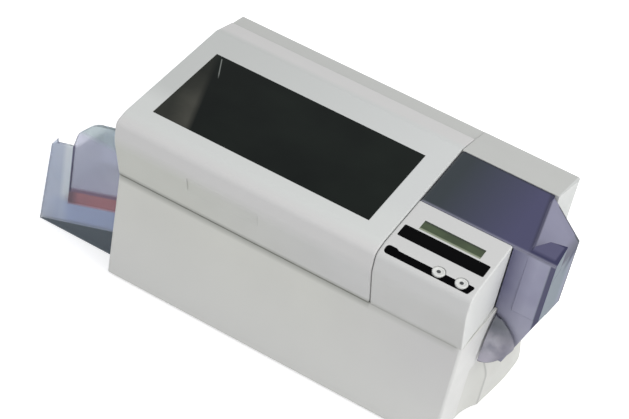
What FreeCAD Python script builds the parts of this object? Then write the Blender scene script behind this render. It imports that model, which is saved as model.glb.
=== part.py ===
import FreeCAD, Part
import math
import os

# Desktop printer for plastic identity cards, in millimetres.
# X runs from the output bin on the left to the card feeder on the right, -Y is the front, +Z is up.
# The origin is the middle of the whole footprint, on the table.

Vector = FreeCAD.Vector

# Casing
body_length = 448.0
hopper_reach = 119.0
feeder_reach = 52.0
base_depth = 261.0
nose_overhang = 20.0
overall_height = 258.0
seam_height = 162.0
foot_height = 4.0
shell_wall = 3.0
right_flare = 11.0
shell_gap = 0.8
corner_radius = 4.0
rear_corner_radius = 9.0
edge_radius = 2.0
cut_overrun = 6.0

# Upper profile, shared by the lid and the control housing
nose_bottom_height = 226.0
nose_bottom_radius = 45.0
nose_top_radius = 8.0
facet_depth = 19.0
facet_drop = 4.5
facet_radius = 22.0
crease_setback = 69.0
crease_radius = 14.0
rear_edge_drop = 19.0

# Lid
lid_length = 332.0
lid_rear_setback = 32.0
window_length = 278.5
window_depth = 137.0
window_left_margin = 25.0
window_front_margin = 36.0
window_flange = 5.0
window_flange_thickness = 1.6
grip_length = 92.0
grip_height = 26.0
grip_depth = 1.4
grip_centre_share = 0.43
grip_centre_height = 212.0

# Lid hinge
hinge_setback = 26.0
hinge_height = 236.5
hinge_pin_radius = 1.8
knuckle_radius = 3.5
hinge_arm_width = 6.0
hinge_arm_inset = 16.0
hinge_arm_drop = 10.0
hinge_arm_reach = 15.0
hinge_arm_bar = 4.0
hinge_lug_width = 5.0
hinge_side_gap = 0.6
rear_strip_step = 2.6
skirt_relief_radius = 10.2
hinge_ear_radius = 9.5
running_clearance = 0.05

# Rear cover and its tongue inside the base
tongue_thickness = 3.0
tongue_depth = 14.0
bay_depth = 109.0
screw_head_radius = 3.0
screw_head_height = 2.0
screw_shank_radius = 1.5
screw_drop = 7.0
screw_margin = 40.0
screw_count = 4

# Control housing with its display and buttons
control_front_to_bay = 101.0
display_length = 74.8
display_depth = 16.3
display_right_margin = 20.2
display_back_margin = 25.0
display_glass = 1.6
display_module_margin = 5.0
overlay_thickness = 0.5
title_band_length = 104.6
title_band_depth = 20.6
title_band_front_setback = 36.1
title_band_right_margin = 5.3
band_corner = 2.0
key_band_length = 106.2
key_band_depth = 11.6
key_band_setback = 5.7
key_band_right_margin = 4.5
key_band_notch = 2.0
key_band_head = 11.0
key_band_tail = 9.0
key_band_round = 4.5
button_radius = 7.4
button_spacing = 27.5
button_right_margin = 20.0
button_front_setback = 14.8
button_top_drop = 0.4
button_flange = 1.5
button_flange_height = 1.6
button_cap_height = 7.2
button_clearance = 0.4
button_travel = 1.2
tact_clearance = 0.3
tact_size = 6.0
board_thickness = 1.6
panel_board_length = 96.0
panel_board_depth = 70.0
tact_height = 2.0
post_radius = 2.5

# Feeder cover, a smoked clear moulding that swings up about its left edge
cover_wall = 2.5
cover_gap = 0.9
cover_bar_radius = 4.0
cover_pin_radius = 1.5
cover_pin_length = 9.0
cover_slope_start_front = 17.6
cover_slope_end = 47.4
cover_slope_drop = 46.0
cover_slope_front_offset = 14.5
cover_rear_end_inset = 6.0
cover_front_lean = 3.0
cover_bottom_height = 88.0
cover_corner_radius = 18.0
cover_end_front_height = 171.0
cover_end_rear_height = 116.0
cover_cut_inset = 19.0
cover_cut_height = 111.0
plateau_length = 32.4
plateau_depth = 38.0
plateau_notch_length = 21.0
plateau_notch_depth = 5.0

# Plinth under the feeder
plinth_height = 78.0
plinth_front_setback = 52.0
plinth_corner_reach = 14.5
plinth_corner_depth = 36.0
plinth_side_reach = 23.0
plinth_side_depth = 58.0
plinth_rear_reach = 24.0
plinth_rear_depth = 44.0
plinth_tail_depth = 28.0

# Feet
foot_radius = 11.0
foot_margin = 30.0
foot_stud_radius = 3.0

# Cards
card_length = 85.6
card_width = 54.0
card_thickness = 0.76
card_path_height = 135.0
card_path_shift = 10.3
input_card_count = 58
output_card_count = 38

# Output bin
bin_wall = 2.5
bin_front_inset = 29.0
bin_depth = 132.0
bin_floor_left_height = 3.5
bin_floor_rise = 42.0
bin_floor_thickness = 2.5
bin_end_lean = 8.0
bin_corner_height = 125.0
bin_horn_height = 136.5
bin_horn_reach = 15.0
bin_horn_step = 5.5
bin_step_height = 138.0
bin_step_reach = 38.0
bin_flank_height = 160.0
bin_flank_reach = 43.0
bin_crest_height = 185.0
bin_crest_reach = 64.0
bin_front_height = 200.0
bin_end_shoulder_depth = 12.0
bin_end_shoulder_drop = 4.0
bin_end_knee_depth = 60.0
bin_end_knee_height = 78.0
bin_rear_height = 57.0
bin_rear_right_height = 152.0
bin_gap = 0.6
bin_hook_height = 8.0
bin_hook_depth = 12.0
bin_hook_reach = 3.0
bin_hook_level = 150.0
bin_lift = 12.0
bin_panel_thickness = 1.5
bin_panel_clearance = 49.0
bin_hook_clearance = 0.6
output_pile_inset = 27.0
output_pile_front = 4.0
exit_slot_height = 16.0
exit_slot_width = 64.0

# Sheet-metal chassis of the print engine
chassis_thickness = 1.5
chassis_margin = 8.0
plate_spacing = 70.0
plate_thickness = 2.0
plate_top_height = 205.0
plate_low_height = 158.0
plate_foot_depth = 12.0
plate_left_reach = 18.0
plate_right_gap = 3.0
plate_tower_left = 40.0
plate_tower_right = 12.0
spacer_radius = 4.0
spacer_screw_radius = 2.0

# Roller stations along the card path, counted from the left edge of the casing
exit_station = 39.0
flipper_station = 109.0
second_station = 179.0
platen_station = 244.0
first_station = 312.0
cleaning_station = 374.0
feed_station = 409.0
drive_roller_radius = 9.0
drive_roller_length = 50.0
drive_shaft_radius = 4.0
pinch_roller_radius = 6.0
pinch_shaft_radius = 3.0
pinch_roller_length = 46.0
shaft_end = 3.0
feed_roller_radius = 10.0
feed_roller_length = 30.0
nip_gap = 0.8
cleaning_roller_radius = 8.0
cleaning_cheek = 3.0
cleaning_cassette_length = 22.0
cleaning_cassette_height = 23.0
side_play = 0.3

# Drive train on the rear plate
gear_module = 1.0
drive_gear_teeth = 56
pinion_teeth = 14
gear_width = 6.0
gear_offset = 2.5
gear_backlash = 0.3
tooth_head_share = 0.85
tooth_root_share = 1.2
tooth_root_width_share = 1.5
tooth_tip_width_share = 0.5
gear_hole_count = 5
gear_hole_ring_share = 0.59
pulley_radius = 8.0
pulley_width = 7.0
pulley_offset = 10.5
belt_thickness = 1.3
belt_gap = 0.3
motor_size = 42.0
motor_depth = 36.0
motor_shaft_radius = 2.5
motor_pilot_radius = 11.0
small_motor_size = 34.0
small_motor_depth = 26.0
small_motor_shaft_depth = 12.0

# Print head and its lift lever
head_length = 32.0
head_width = 64.0
head_bottom_gap = 1.6
head_height = 44.0
head_bar_height = 5.0
head_bar_length = 12.0
head_fin_thickness = 2.0
head_fin_count = 5
head_fin_height = 12.0
head_pin_radius = 3.0
head_pin_height = 30.0
head_lift = 10.0
lever_axis_height = 194.0
lever_length = 34.0
lever_width = 10.0
lever_thickness = 4.0
lever_pin_radius = 3.0
lever_knob_radius = 5.5
lever_knob_length = 10.0

# Ribbon
spool_axis_height = 190.0
spool_offset = 55.0
spool_core_radius = 8.0
spool_shaft_radius = 5.0
spool_flange_radius = 24.0
spool_flange_thickness = 2.0
spool_length = 66.0
supply_roll_radius = 21.0
take_up_roll_radius = 12.0
roll_length = 58.0
film_thickness = 0.4
film_gap = 0.3

# Card flipper
flipper_length = 82.0
flipper_height = 24.0
flipper_cheek = 2.0
flipper_slot = 6.0
flipper_guide = 2.0
flipper_width = 66.0
flipper_stub_radius = 5.0
flipper_stub_length = 6.0
flipper_roller_radius = 3.6
flipper_roller_offset = 14.0
flipper_roller_length = 40.0
flipper_axle_radius = 1.8

# Feed tray with its weight and thickness gate
tray_wall = 2.0
tray_floor = 3.0
tray_play = 0.6
tray_stop_thickness = 2.5
tray_wall_height = 76.0
tray_end_height = 40.0
tray_finger_width = 26.0
tray_slot_width = 8.0
tray_slot_from_stop = 32.0
gate_slot_height = 2.2
gate_thickness = 2.0
gate_width = 40.0
gate_height = 36.0
gate_lift = 4.0
gate_handle = 9.0
gate_guide = 3.0
gate_clearance = 0.3
weight_length = 52.0
weight_height = 12.0
weight_tab = 6.0
weight_knob_radius = 8.0
weight_knob_height = 12.0
weight_offset = 10.0

# Electronics and power
board_length = 170.0
board_depth = 66.0
board_standoff = 6.0
board_left_offset = 12.0
board_chip_count = 3
board_chip_start_share = 0.15
board_chip_pitch_share = 0.28
board_socket_start_share = 0.2
board_socket_end_share = 0.7
supply_length = 150.0
supply_depth = 64.0
supply_height = 42.0
supply_offset = 14.0
supply_vent_count = 9
supply_vent_width = 3.0
inlet_length = 28.0
inlet_height = 20.0
inlet_depth = 22.0
inlet_wall = 2.5
inlet_offset = 46.0
inlet_level = 40.0
inlet_pin_length = 14.0
inlet_pin_width = 4.0
inlet_pin_thickness = 2.0
switch_offset = 92.0
switch_width = 13.0
switch_radius = 9.0
switch_frame = 2.5
switch_gap = 0.3
switch_face_angle = 12.0
port_offset = 250.0
port_pitch = 30.0
port_size = 14.0
port_depth = 16.0
port_wall = 1.0
port_level = 40.0
fan_size = 60.0
fan_depth = 15.0
fan_offset = 150.0
fan_level = 96.0
fan_ring = 27.5
fan_hub_radius = 12.0
fan_blade_count = 7
fan_blade_radius = 25.5
fan_blade_thickness = 2.0
fan_blade_depth = 8.0
fan_blade_pitch_angle = 35.0
fan_axle_radius = 2.0
grille_slot_width = 3.0
grille_slot_count = 9
sensor_length = 10.0
sensor_height = 5.0
sensor_depth = 6.0
sensor_drop = 4.0

# Derived places
left_edge = -(hopper_reach + body_length + feeder_reach) / 2 + hopper_reach
right_edge = left_edge + body_length
nose_front = -(base_depth + nose_overhang) / 2
base_front = nose_front + nose_overhang
rear_edge = base_front + base_depth
crease_back = rear_edge - crease_setback
slope_rate = rear_edge_drop / crease_setback
lid_right = left_edge + lid_length
lid_rear = rear_edge - lid_rear_setback
control_left = lid_right + shell_gap
control_back = nose_front + control_front_to_bay
bay_back = control_back + bay_depth
base_floor_top = foot_height + shell_wall
chassis_top = base_floor_top + chassis_thickness
inner_rear = rear_edge - shell_wall
hinge_back = rear_edge - hinge_setback
path_middle = card_path_shift
plate_front_inner = path_middle - plate_spacing / 2
plate_rear_inner = path_middle + plate_spacing / 2
plate_front_outer = plate_front_inner - plate_thickness
plate_rear_outer = plate_rear_inner + plate_thickness
drive_axis_height = card_path_height - drive_roller_radius
feed_axis_height = card_path_height - feed_roller_radius
pinch_axis_height = card_path_height + nip_gap + pinch_roller_radius
cleaning_axis_height = card_path_height + nip_gap + cleaning_roller_radius
exit_x = left_edge + exit_station
flipper_x = left_edge + flipper_station
second_x = left_edge + second_station
platen_x = left_edge + platen_station
first_x = left_edge + first_station
cleaning_x = left_edge + cleaning_station
feed_x = left_edge + feed_station
supply_x = platen_x + spool_offset
take_up_x = platen_x - spool_offset
gear_front = plate_rear_outer + gear_offset
pulley_front = plate_rear_outer + pulley_offset
drive_shaft_end = pulley_front + pulley_width
plate_right = right_edge - shell_wall - plate_right_gap
tray_stop = feed_x - card_length / 6
tray_end = tray_stop + card_length + 2 * tray_play
input_pile_top = card_path_height + input_card_count * card_thickness
button_right_x = right_edge - button_right_margin
button_left_x = button_right_x - button_spacing
button_y = nose_front + button_front_setback
button_top = overall_height - button_top_drop
button_bottom = button_top - button_cap_height - button_flange_height
tact_top = button_bottom - button_travel - tact_clearance
panel_board_top = tact_top - tact_height
cover_left = lid_right + cover_gap
cover_axis_x = cover_left + cover_bar_radius
cover_axis_height = overall_height - cover_bar_radius
cover_front = control_back + cover_gap
cover_back = bay_back - cover_gap
cover_end = right_edge + feeder_reach
bin_left = left_edge - hopper_reach
bin_right = left_edge - bin_gap
bin_front = nose_front + bin_front_inset + nose_overhang
bin_back = bin_front + bin_depth


# Basic solids

def box(x0, x1, y0, y1, z0, z1):
    return Part.makeBox(x1 - x0, y1 - y0, z1 - z0, Vector(x0, y0, z0))


def rod_x(radius, x0, x1, y, z):
    return Part.makeCylinder(radius, x1 - x0, Vector(x0, y, z), Vector(1, 0, 0))


def rod_y(radius, y0, y1, x, z):
    return Part.makeCylinder(radius, y1 - y0, Vector(x, y0, z), Vector(0, 1, 0))


def rod_z(radius, z0, z1, x, y):
    return Part.makeCylinder(radius, z1 - z0, Vector(x, y, z0), Vector(0, 0, 1))


def tube_y(outer, inner, y0, y1, x, z):
    return rod_y(outer, y0, y1, x, z).cut(rod_y(inner, y0, y1, x, z))


def joined(first, *others):
    return first.fuse(list(others)).removeSplitter()


def group(solids):
    return Part.makeCompound(solids)


def rounded_wire(points):
    """Closed wire through (place, radius) corners, each corner an arc tangent to its two sides."""
    count = len(points)
    starts = []
    ends = []
    middles = []
    for i in range(count):
        corner, radius = points[i]
        before = (points[i - 1][0] - corner).normalize()
        after = (points[(i + 1) % count][0] - corner).normalize()
        if radius == 0:
            starts.append(corner)
            ends.append(corner)
            middles.append(None)
            continue
        half = before.getAngle(after) / 2
        reach = radius / math.tan(half)
        inward = (before + after).normalize()
        starts.append(corner + before * reach)
        ends.append(corner + after * reach)
        middles.append(corner + inward * (radius / math.sin(half) - radius))
    edges = []
    for i in range(count):
        if middles[i] is not None:
            edges.append(Part.Arc(starts[i], middles[i], ends[i]).toShape())
        following = starts[(i + 1) % count]
        if (following - ends[i]).Length > 0:
            edges.append(Part.LineSegment(ends[i], following).toShape())
    return Part.Wire(edges)


def side_face(points, x):
    """Face in a plane square to X from (y, z, radius) corners."""
    return Part.Face(rounded_wire([(Vector(x, y, z), radius) for y, z, radius in points]))


def front_face(points, y):
    """Face in a plane square to Y from (x, z, radius) corners."""
    return Part.Face(rounded_wire([(Vector(x, y, z), radius) for x, z, radius in points]))


def plan_face(points, z):
    """Face in a plane square to Z from (x, y, radius) corners."""
    return Part.Face(rounded_wire([(Vector(x, y, z), radius) for x, y, radius in points]))


def side_prism(points, x0, x1):
    return side_face(points, x0).extrude(Vector(x1 - x0, 0, 0))


def front_prism(points, y0, y1):
    return front_face(points, y0).extrude(Vector(0, y1 - y0, 0))


def plan_prism(points, z0, z1):
    return plan_face(points, z0).extrude(Vector(0, 0, z1 - z0))


def half_space(point, outward, size):
    """Large block on the outward side of a plane."""
    block = Part.makeBox(size, size, size, Vector(-size / 2, -size / 2, 0))
    block.Placement = FreeCAD.Placement(point, FreeCAD.Rotation(Vector(0, 0, 1), outward))
    return block


def slope_height(y):
    """Height of the rear slope at a depth y."""
    return overall_height - slope_rate * (y - crease_back)


# Casing sections

def base_plan(inset):
    """Plan of the casing: the right end flares out towards the rear."""
    flare_rate = right_flare / base_depth
    radius = corner_radius - inset if inset < corner_radius else 0
    rear_radius = rear_corner_radius - inset if inset < rear_corner_radius else 0
    return [
        (left_edge + inset, base_front + inset, radius),
        (right_edge - inset + flare_rate * inset, base_front + inset, radius),
        (right_edge + right_flare - inset - flare_rate * inset, rear_edge - inset, rear_radius),
        (left_edge + inset, rear_edge - inset, radius),
    ]


def upper_section(back, bottom):
    """Profile of the lid and the control housing from the seam over the nose and the top to back."""
    lean = nose_overhang / (nose_bottom_height - seam_height)
    points = [
        (base_front - lean * (bottom - seam_height), bottom, 0),
        (nose_front, nose_bottom_height, nose_bottom_radius),
        (nose_front, overall_height - facet_drop, nose_top_radius),
        (nose_front + facet_depth, overall_height, facet_radius),
    ]
    if back > crease_back:
        points.append((crease_back, overall_height, crease_radius))
        points.append((back, slope_height(back), 0))
    else:
        points.append((back, overall_height, 0))
    points.append((back, bottom, 0))
    return points


def upper_shell(x0, x1, back, open_back, bottom):
    """Hollow moulding of the upper profile, open below and, where asked, at the back."""
    outer = side_prism(upper_section(back, bottom), x0, x1)
    ends = [e for e in outer.Edges if end_edge(e, x0, bottom, back) or end_edge(e, x1, bottom, back)]
    outer = outer.makeFillet(edge_radius, ends)
    reach = back + 3 * shell_wall if open_back else back
    section = side_face(upper_section(reach, bottom - 2 * shell_wall), x0 + shell_wall)
    inner = section.makeOffset2D(-shell_wall).extrude(Vector(x1 - x0 - 2 * shell_wall, 0, 0))
    return outer.cut(inner)


def end_edge(edge, x, bottom, back):
    """True for the rim of an end face, without its bottom and back lines."""
    place = edge.BoundBox
    in_plane = abs(place.XMin - x) < running_clearance and abs(place.XMax - x) < running_clearance
    on_bottom = place.ZMax < bottom + running_clearance
    on_back = place.YMin > back - running_clearance
    return in_plane and not on_bottom and not on_back


# Base group

def base_housing():
    """Open tub: floor, front, rear and both ends, with the holes for cards, plugs and air."""
    shell = plan_prism(base_plan(0), foot_height, seam_height)
    shell = shell.cut(plan_prism(base_plan(shell_wall), base_floor_top, seam_height + cut_overrun))
    slot = box(left_edge - cut_overrun, left_edge + shell_wall + cut_overrun,
               path_middle - exit_slot_width / 2, path_middle + exit_slot_width / 2,
               card_path_height - exit_slot_height / 2, card_path_height + exit_slot_height / 2)
    notch_side = card_width / 2 + tray_play + tray_wall + 2 * side_play + shell_wall
    notch = box(right_edge - shell_wall - cut_overrun, right_edge + right_flare + cut_overrun,
                path_middle - notch_side, path_middle + notch_side,
                card_path_height - tray_floor - shell_wall - 2 * side_play, seam_height + cut_overrun)
    shell = shell.cut([slot, notch] + rear_holes() + hook_slots())
    return shell.cut(screw_solids(0, 0))


def hook_slots():
    cuts = []
    for y in hook_places():
        cuts.append(box(left_edge - cut_overrun, left_edge + shell_wall + cut_overrun,
                        y - bin_hook_clearance, y + bin_hook_depth + bin_hook_clearance,
                        bin_hook_level - bin_hook_height - bin_hook_clearance,
                        bin_hook_level + bin_lift + bin_hook_clearance))
    return cuts


def hook_places():
    return [bin_front + bin_hook_depth, bin_back - 2 * bin_hook_depth]


def screw_places():
    pitch = (body_length - 2 * screw_margin) / (screw_count - 1)
    return [left_edge + screw_margin + i * pitch for i in range(screw_count)]


def screw_solids(head_extra, shank_extra):
    solids = []
    for x in screw_places():
        head_back = rear_edge - shell_wall / 3
        head = rod_y(screw_head_radius + head_extra, head_back - screw_head_height,
                     rear_edge, x, seam_height - screw_drop)
        solids.append(head)
        solids.append(rod_y(screw_shank_radius + shank_extra, inner_rear - tongue_thickness,
                            head_back, x, seam_height - screw_drop))
    return solids


def case_screws():
    """Pan-head screws, sunk in the rear wall, that hold the rear cover's tongue."""
    screws = []
    for x in screw_places():
        z = seam_height - screw_drop
        head_back = rear_edge - shell_wall / 3
        head = rod_y(screw_head_radius, head_back - screw_head_height, head_back, x, z)
        shank = rod_y(screw_shank_radius, inner_rear - tongue_thickness, head_back - screw_head_height, x, z)
        slot = box(x - screw_head_radius, x + screw_head_radius, head_back - screw_head_height / 2,
                   head_back, z - screw_shank_radius / 3, z + screw_shank_radius / 3)
        screws.append(joined(head, shank).cut(slot))
    return group(screws)


def rear_holes():
    """Holes in the rear wall for the mains inlet, the switch, the data ports and the fan's air."""
    y0 = inner_rear - cut_overrun
    y1 = rear_edge + cut_overrun
    x = left_edge + inlet_offset
    half = inlet_length / 2 + inlet_wall
    cuts = [box(x - half, x + half, y0, y1, inlet_level - inlet_height / 2 - inlet_wall,
                inlet_level + inlet_height / 2 + inlet_wall)]
    x = left_edge + switch_offset
    half = switch_width / 2 + switch_frame
    tall = switch_radius + switch_frame
    cuts.append(box(x - half, x + half, y0, y1, inlet_level - tall, inlet_level + tall))
    for x in port_places():
        cuts.append(box(x - port_size / 2, x + port_size / 2, y0, y1,
                        port_level - port_size / 2, port_level + port_size / 2))
    pitch = 2 * fan_ring / grille_slot_count
    for i in range(grille_slot_count):
        z = fan_level - fan_ring + (i + 0.5) * pitch
        wide = math.sqrt(fan_ring ** 2 - (z - fan_level) ** 2)
        x = left_edge + fan_offset
        cuts.append(box(x - wide, x + wide, y0, y1, z - grille_slot_width / 2, z + grille_slot_width / 2))
    return cuts


def port_places():
    return [left_edge + port_offset, left_edge + port_offset + port_pitch]


def rubber_feet():
    feet = []
    for x in (left_edge + foot_margin, right_edge - foot_margin):
        for y in (base_front + foot_margin, rear_edge - foot_margin):
            pad = rod_z(foot_radius, 0, foot_height, x, y)
            feet.append(joined(pad, rod_z(foot_stud_radius, foot_height, base_floor_top, x, y)))
    return group(feet)


def base_with_foot_holes():
    shell = base_housing()
    for x in (left_edge + foot_margin, right_edge - foot_margin):
        for y in (base_front + foot_margin, rear_edge - foot_margin):
            shell = shell.cut(rod_z(foot_stud_radius, foot_height, base_floor_top, x, y))
    return shell


def chassis_plate():
    """Steel floor plate that carries the print engine, with a low turned-up rim at the front."""
    x0 = left_edge + chassis_margin
    x1 = right_edge - chassis_margin
    y0 = base_front + chassis_margin
    y1 = rear_edge - fan_depth - shell_wall - chassis_margin
    plate = box(x0, x1, y0, y1, base_floor_top, chassis_top)
    rim = box(x0, x1, y0, y0 + chassis_thickness, chassis_top, chassis_top + chassis_margin)
    return joined(plate, rim)


def feeder_plinth():
    """Hollow foot of the casing that bulges out under the card feeder."""
    y0 = base_front + plinth_front_setback
    y1 = y0 + plinth_corner_depth
    y2 = y1 + plinth_side_depth
    y3 = y2 + plinth_rear_depth
    y4 = y3 + plinth_tail_depth
    rate = right_flare / base_depth
    wall_at = [right_edge + rate * (y - base_front) for y in (y0, y4)]
    outline = [
        (wall_at[0], y0, 0),
        (right_edge + plinth_corner_reach, y1, corner_radius),
        (right_edge + plinth_side_reach, y2, 6 * corner_radius),
        (right_edge + plinth_rear_reach, y3, 4 * corner_radius),
        (wall_at[1], y4, 0),
    ]
    solid = plan_prism(outline, foot_height, plinth_height)
    top = [e for e in solid.Edges if e.BoundBox.ZMin > plinth_height - running_clearance
           and e.BoundBox.XMax > wall_at[1] + running_clearance]
    solid = solid.makeFillet(edge_radius, top)
    inner = plan_face(outline, foot_height).makeOffset2D(-shell_wall)
    hollow = inner.extrude(Vector(0, 0, plinth_height - shell_wall - foot_height))
    return solid.cut(hollow)


# Rear cover

def rear_cover():
    """Rear strip behind the lid and, right of the lid, the full rear block beside the feeder bay."""
    strip_front = lid_rear + shell_gap
    strip_back = slope_height(strip_front) - rear_strip_step
    strip_edge = slope_height(rear_edge)
    strip_points = [
        (strip_front, strip_back, 0),
        (rear_edge, strip_edge, corner_radius),
        (rear_edge, seam_height, 0),
        (strip_front, seam_height, 0),
    ]
    strip = side_prism(strip_points, left_edge, control_left + shell_wall)
    under = [
        (strip_front - cut_overrun, strip_back + cut_overrun * slope_rate - shell_wall, 0),
        (inner_rear, strip_edge - shell_wall, edge_radius),
        (inner_rear, seam_height - cut_overrun, 0),
        (strip_front - cut_overrun, seam_height - cut_overrun, 0),
    ]
    strip = strip.cut(side_prism(under, left_edge + shell_wall, control_left + shell_wall))
    block_points = [
        (bay_back, seam_height, 0),
        (bay_back, slope_height(bay_back) if bay_back > crease_back else overall_height, 0),
        (crease_back, overall_height, 0),
        (rear_edge, strip_edge, corner_radius),
        (rear_edge, seam_height, 0),
    ]
    far = right_edge + right_flare + cut_overrun
    block = side_prism(block_points, control_left, far)
    block = block.common(plan_prism(base_plan(0), seam_height, overall_height))
    hollow_points = [
        (bay_back + shell_wall, seam_height - cut_overrun, 0),
        (bay_back + shell_wall, overall_height - shell_wall, 0),
        (crease_back + shell_wall, overall_height - shell_wall, 0),
        (inner_rear, strip_edge - shell_wall, edge_radius),
        (inner_rear, seam_height - cut_overrun, 0),
    ]
    hollow = side_prism(hollow_points, control_left + shell_wall, far)
    hollow = hollow.common(plan_prism(base_plan(shell_wall), seam_height - cut_overrun, overall_height))
    block = block.cut(hollow)
    tongue = box(left_edge + corner_radius, right_edge, inner_rear - tongue_thickness, inner_rear,
                 seam_height - tongue_depth, seam_height)
    link = box(left_edge + corner_radius, right_edge, inner_rear - tongue_thickness,
               inner_rear + shell_wall / 2, seam_height, seam_height + shell_wall)
    cover = joined(strip, block, tongue, link, *(hinge_ears() + hinge_lugs()))
    pin_hole = rod_y(cover_pin_radius, bay_back, bay_back + shell_wall, cover_axis_x, cover_axis_height)
    cover = cover.cut([pin_hole] + [lid_pin(x) for x in hinge_arm_places()])
    return cover.cut(screw_solids(0, 0))


def hinge_arm_places():
    return [left_edge + hinge_arm_inset, lid_right - hinge_arm_inset - hinge_arm_width]


def lid_pin(x):
    return rod_x(hinge_pin_radius, x - hinge_side_gap - hinge_lug_width,
                 x + hinge_arm_width + hinge_side_gap + hinge_lug_width, hinge_back, hinge_height)


def hinge_ears():
    """Round ears that fill the hollows of the lid's end walls, centred on the lid's hinge."""
    ears = []
    low = hinge_height - hinge_ear_radius
    front = hinge_back - hinge_ear_radius
    drop = rear_strip_step + side_play * 3
    points = [
        (front, low, 0),
        (rear_edge - shell_wall, low, 0),
        (rear_edge - shell_wall, slope_height(rear_edge - shell_wall) - drop, 0),
        (front, slope_height(front) - drop, 0),
    ]
    for x0, x1 in skirt_places():
        disc = rod_x(hinge_ear_radius, x0, x1, hinge_back, hinge_height)
        ears.append(disc.common(side_prism(points, x0, x1)))
    return ears


def hinge_lugs():
    """Pairs of lugs that hang from the rear strip beside each arm of the lid."""
    lugs = []
    strip_front = lid_rear + shell_gap
    for x in hinge_arm_places():
        for x0 in (x - hinge_side_gap - hinge_lug_width, x + hinge_arm_width + hinge_side_gap):
            top = slope_height(hinge_back) - rear_strip_step - shell_wall / 2
            points = [
                (hinge_back - knuckle_radius, hinge_height, 0),
                (hinge_back - knuckle_radius, top, 0),
                (rear_edge - shell_wall / 2, slope_height(rear_edge) - shell_wall / 2, 0),
                (rear_edge - shell_wall / 2, hinge_height - 2 * knuckle_radius, 0),
                (hinge_back, hinge_height - knuckle_radius, 0),
            ]
            lug = side_prism(points, x0, x0 + hinge_lug_width)
            lugs.append(lug.fuse(rod_x(knuckle_radius, x0, x0 + hinge_lug_width, hinge_back, hinge_height)))
    return lugs


# Lid

def hinge_arms():
    """Goose-neck arms that dip under the front edge of the rear strip and curl round the pins."""
    arms = []
    for x in hinge_arm_places():
        elbow = Vector(x, hinge_back - hinge_arm_drop, hinge_height - hinge_arm_drop)
        root_y = hinge_back - hinge_arm_reach
        root = Vector(x, root_y, slope_height(root_y) - shell_wall / 2)
        arm = flat_bar(Vector(x, hinge_back, hinge_height), elbow, hinge_arm_bar, hinge_arm_width)
        arm = arm.fuse([
            flat_bar(elbow, root, hinge_arm_bar, hinge_arm_width),
            rod_x(hinge_arm_bar / 2, x, x + hinge_arm_width, elbow.y, elbow.z),
            rod_x(knuckle_radius, x, x + hinge_arm_width, hinge_back, hinge_height),
        ])
        hole = rod_x(hinge_pin_radius + running_clearance, x - side_play, x + hinge_arm_width + side_play,
                     hinge_back, hinge_height)
        arms.append(arm.cut(hole))
    return arms


def flat_bar(start, end, width, thickness):
    """Bar in a plane square to X from start to end, of a given width, thickness along +X."""
    along = (end - start).normalize()
    across = Vector(0, -along.z, along.y) * (width / 2)
    corners = [start + across, end + across, end - across, start - across]
    wire = Part.makePolygon(corners + [corners[0]])
    return Part.Face(wire).extrude(Vector(thickness, 0, 0))


def window_box(inset, z0, z1):
    x0 = left_edge + window_left_margin
    y0 = nose_front + window_front_margin
    return box(x0 + inset, x0 + window_length - inset, y0 + inset, y0 + window_depth - inset, z0, z1)


def top_lid():
    bottom = seam_height + shell_gap
    shell = upper_shell(left_edge, lid_right, lid_rear, True, bottom)
    shell = shell.cut(window_box(0, overall_height - 2 * shell_wall, overall_height + cut_overrun))
    reliefs = [rod_x(skirt_relief_radius, x0, x1, hinge_back, hinge_height) for x0, x1 in skirt_places()]
    return shell.cut(reliefs + [grip_scoop()]).fuse(hinge_arms()).removeSplitter()


def skirt_places():
    """X ranges of the two end walls of the lid."""
    return [(left_edge, left_edge + shell_wall), (lid_right - shell_wall, lid_right)]


def grip_scoop():
    """Shallow round-ended hollow in the nose, where fingers take the lid."""
    middle = left_edge + lid_length * grip_centre_share
    radius = (grip_height ** 2 / 4 + grip_depth ** 2) / (2 * grip_depth)
    lean = nose_overhang / (nose_bottom_height - seam_height)
    surface = base_front - lean * (grip_centre_height - seam_height)
    tilt = math.atan(lean)
    centre_y = surface - (radius - grip_depth) * math.cos(tilt)
    centre_z = grip_centre_height - (radius - grip_depth) * math.sin(tilt)
    return rod_x(radius, middle - grip_length / 2, middle + grip_length / 2, centre_y, centre_z)


def lid_window():
    """Dark smoked sheet, flush in the lid, on a wider flange glued under the lid's top."""
    sheet = window_box(0, overall_height - shell_wall, overall_height)
    flange = window_box(-window_flange, overall_height - shell_wall - window_flange_thickness,
                        overall_height - shell_wall)
    return joined(sheet, flange)


# Control housing

def facet_height(y):
    """Height of the sloping facet between the top and the nose at a depth y."""
    return overall_height - facet_drop * (nose_front + facet_depth - y) / facet_depth


def title_band(depth):
    """Oblong strip with slightly rounded corners on the level top."""
    x1 = right_edge - title_band_right_margin
    x0 = x1 - title_band_length
    y0 = nose_front + title_band_front_setback
    y1 = y0 + title_band_depth
    corners = [(x0, y0), (x1, y0), (x1, y1), (x0, y1)]
    points = [(x, y, band_corner) for x, y in corners]
    return plan_prism(points, overall_height - depth, overall_height)


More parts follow.
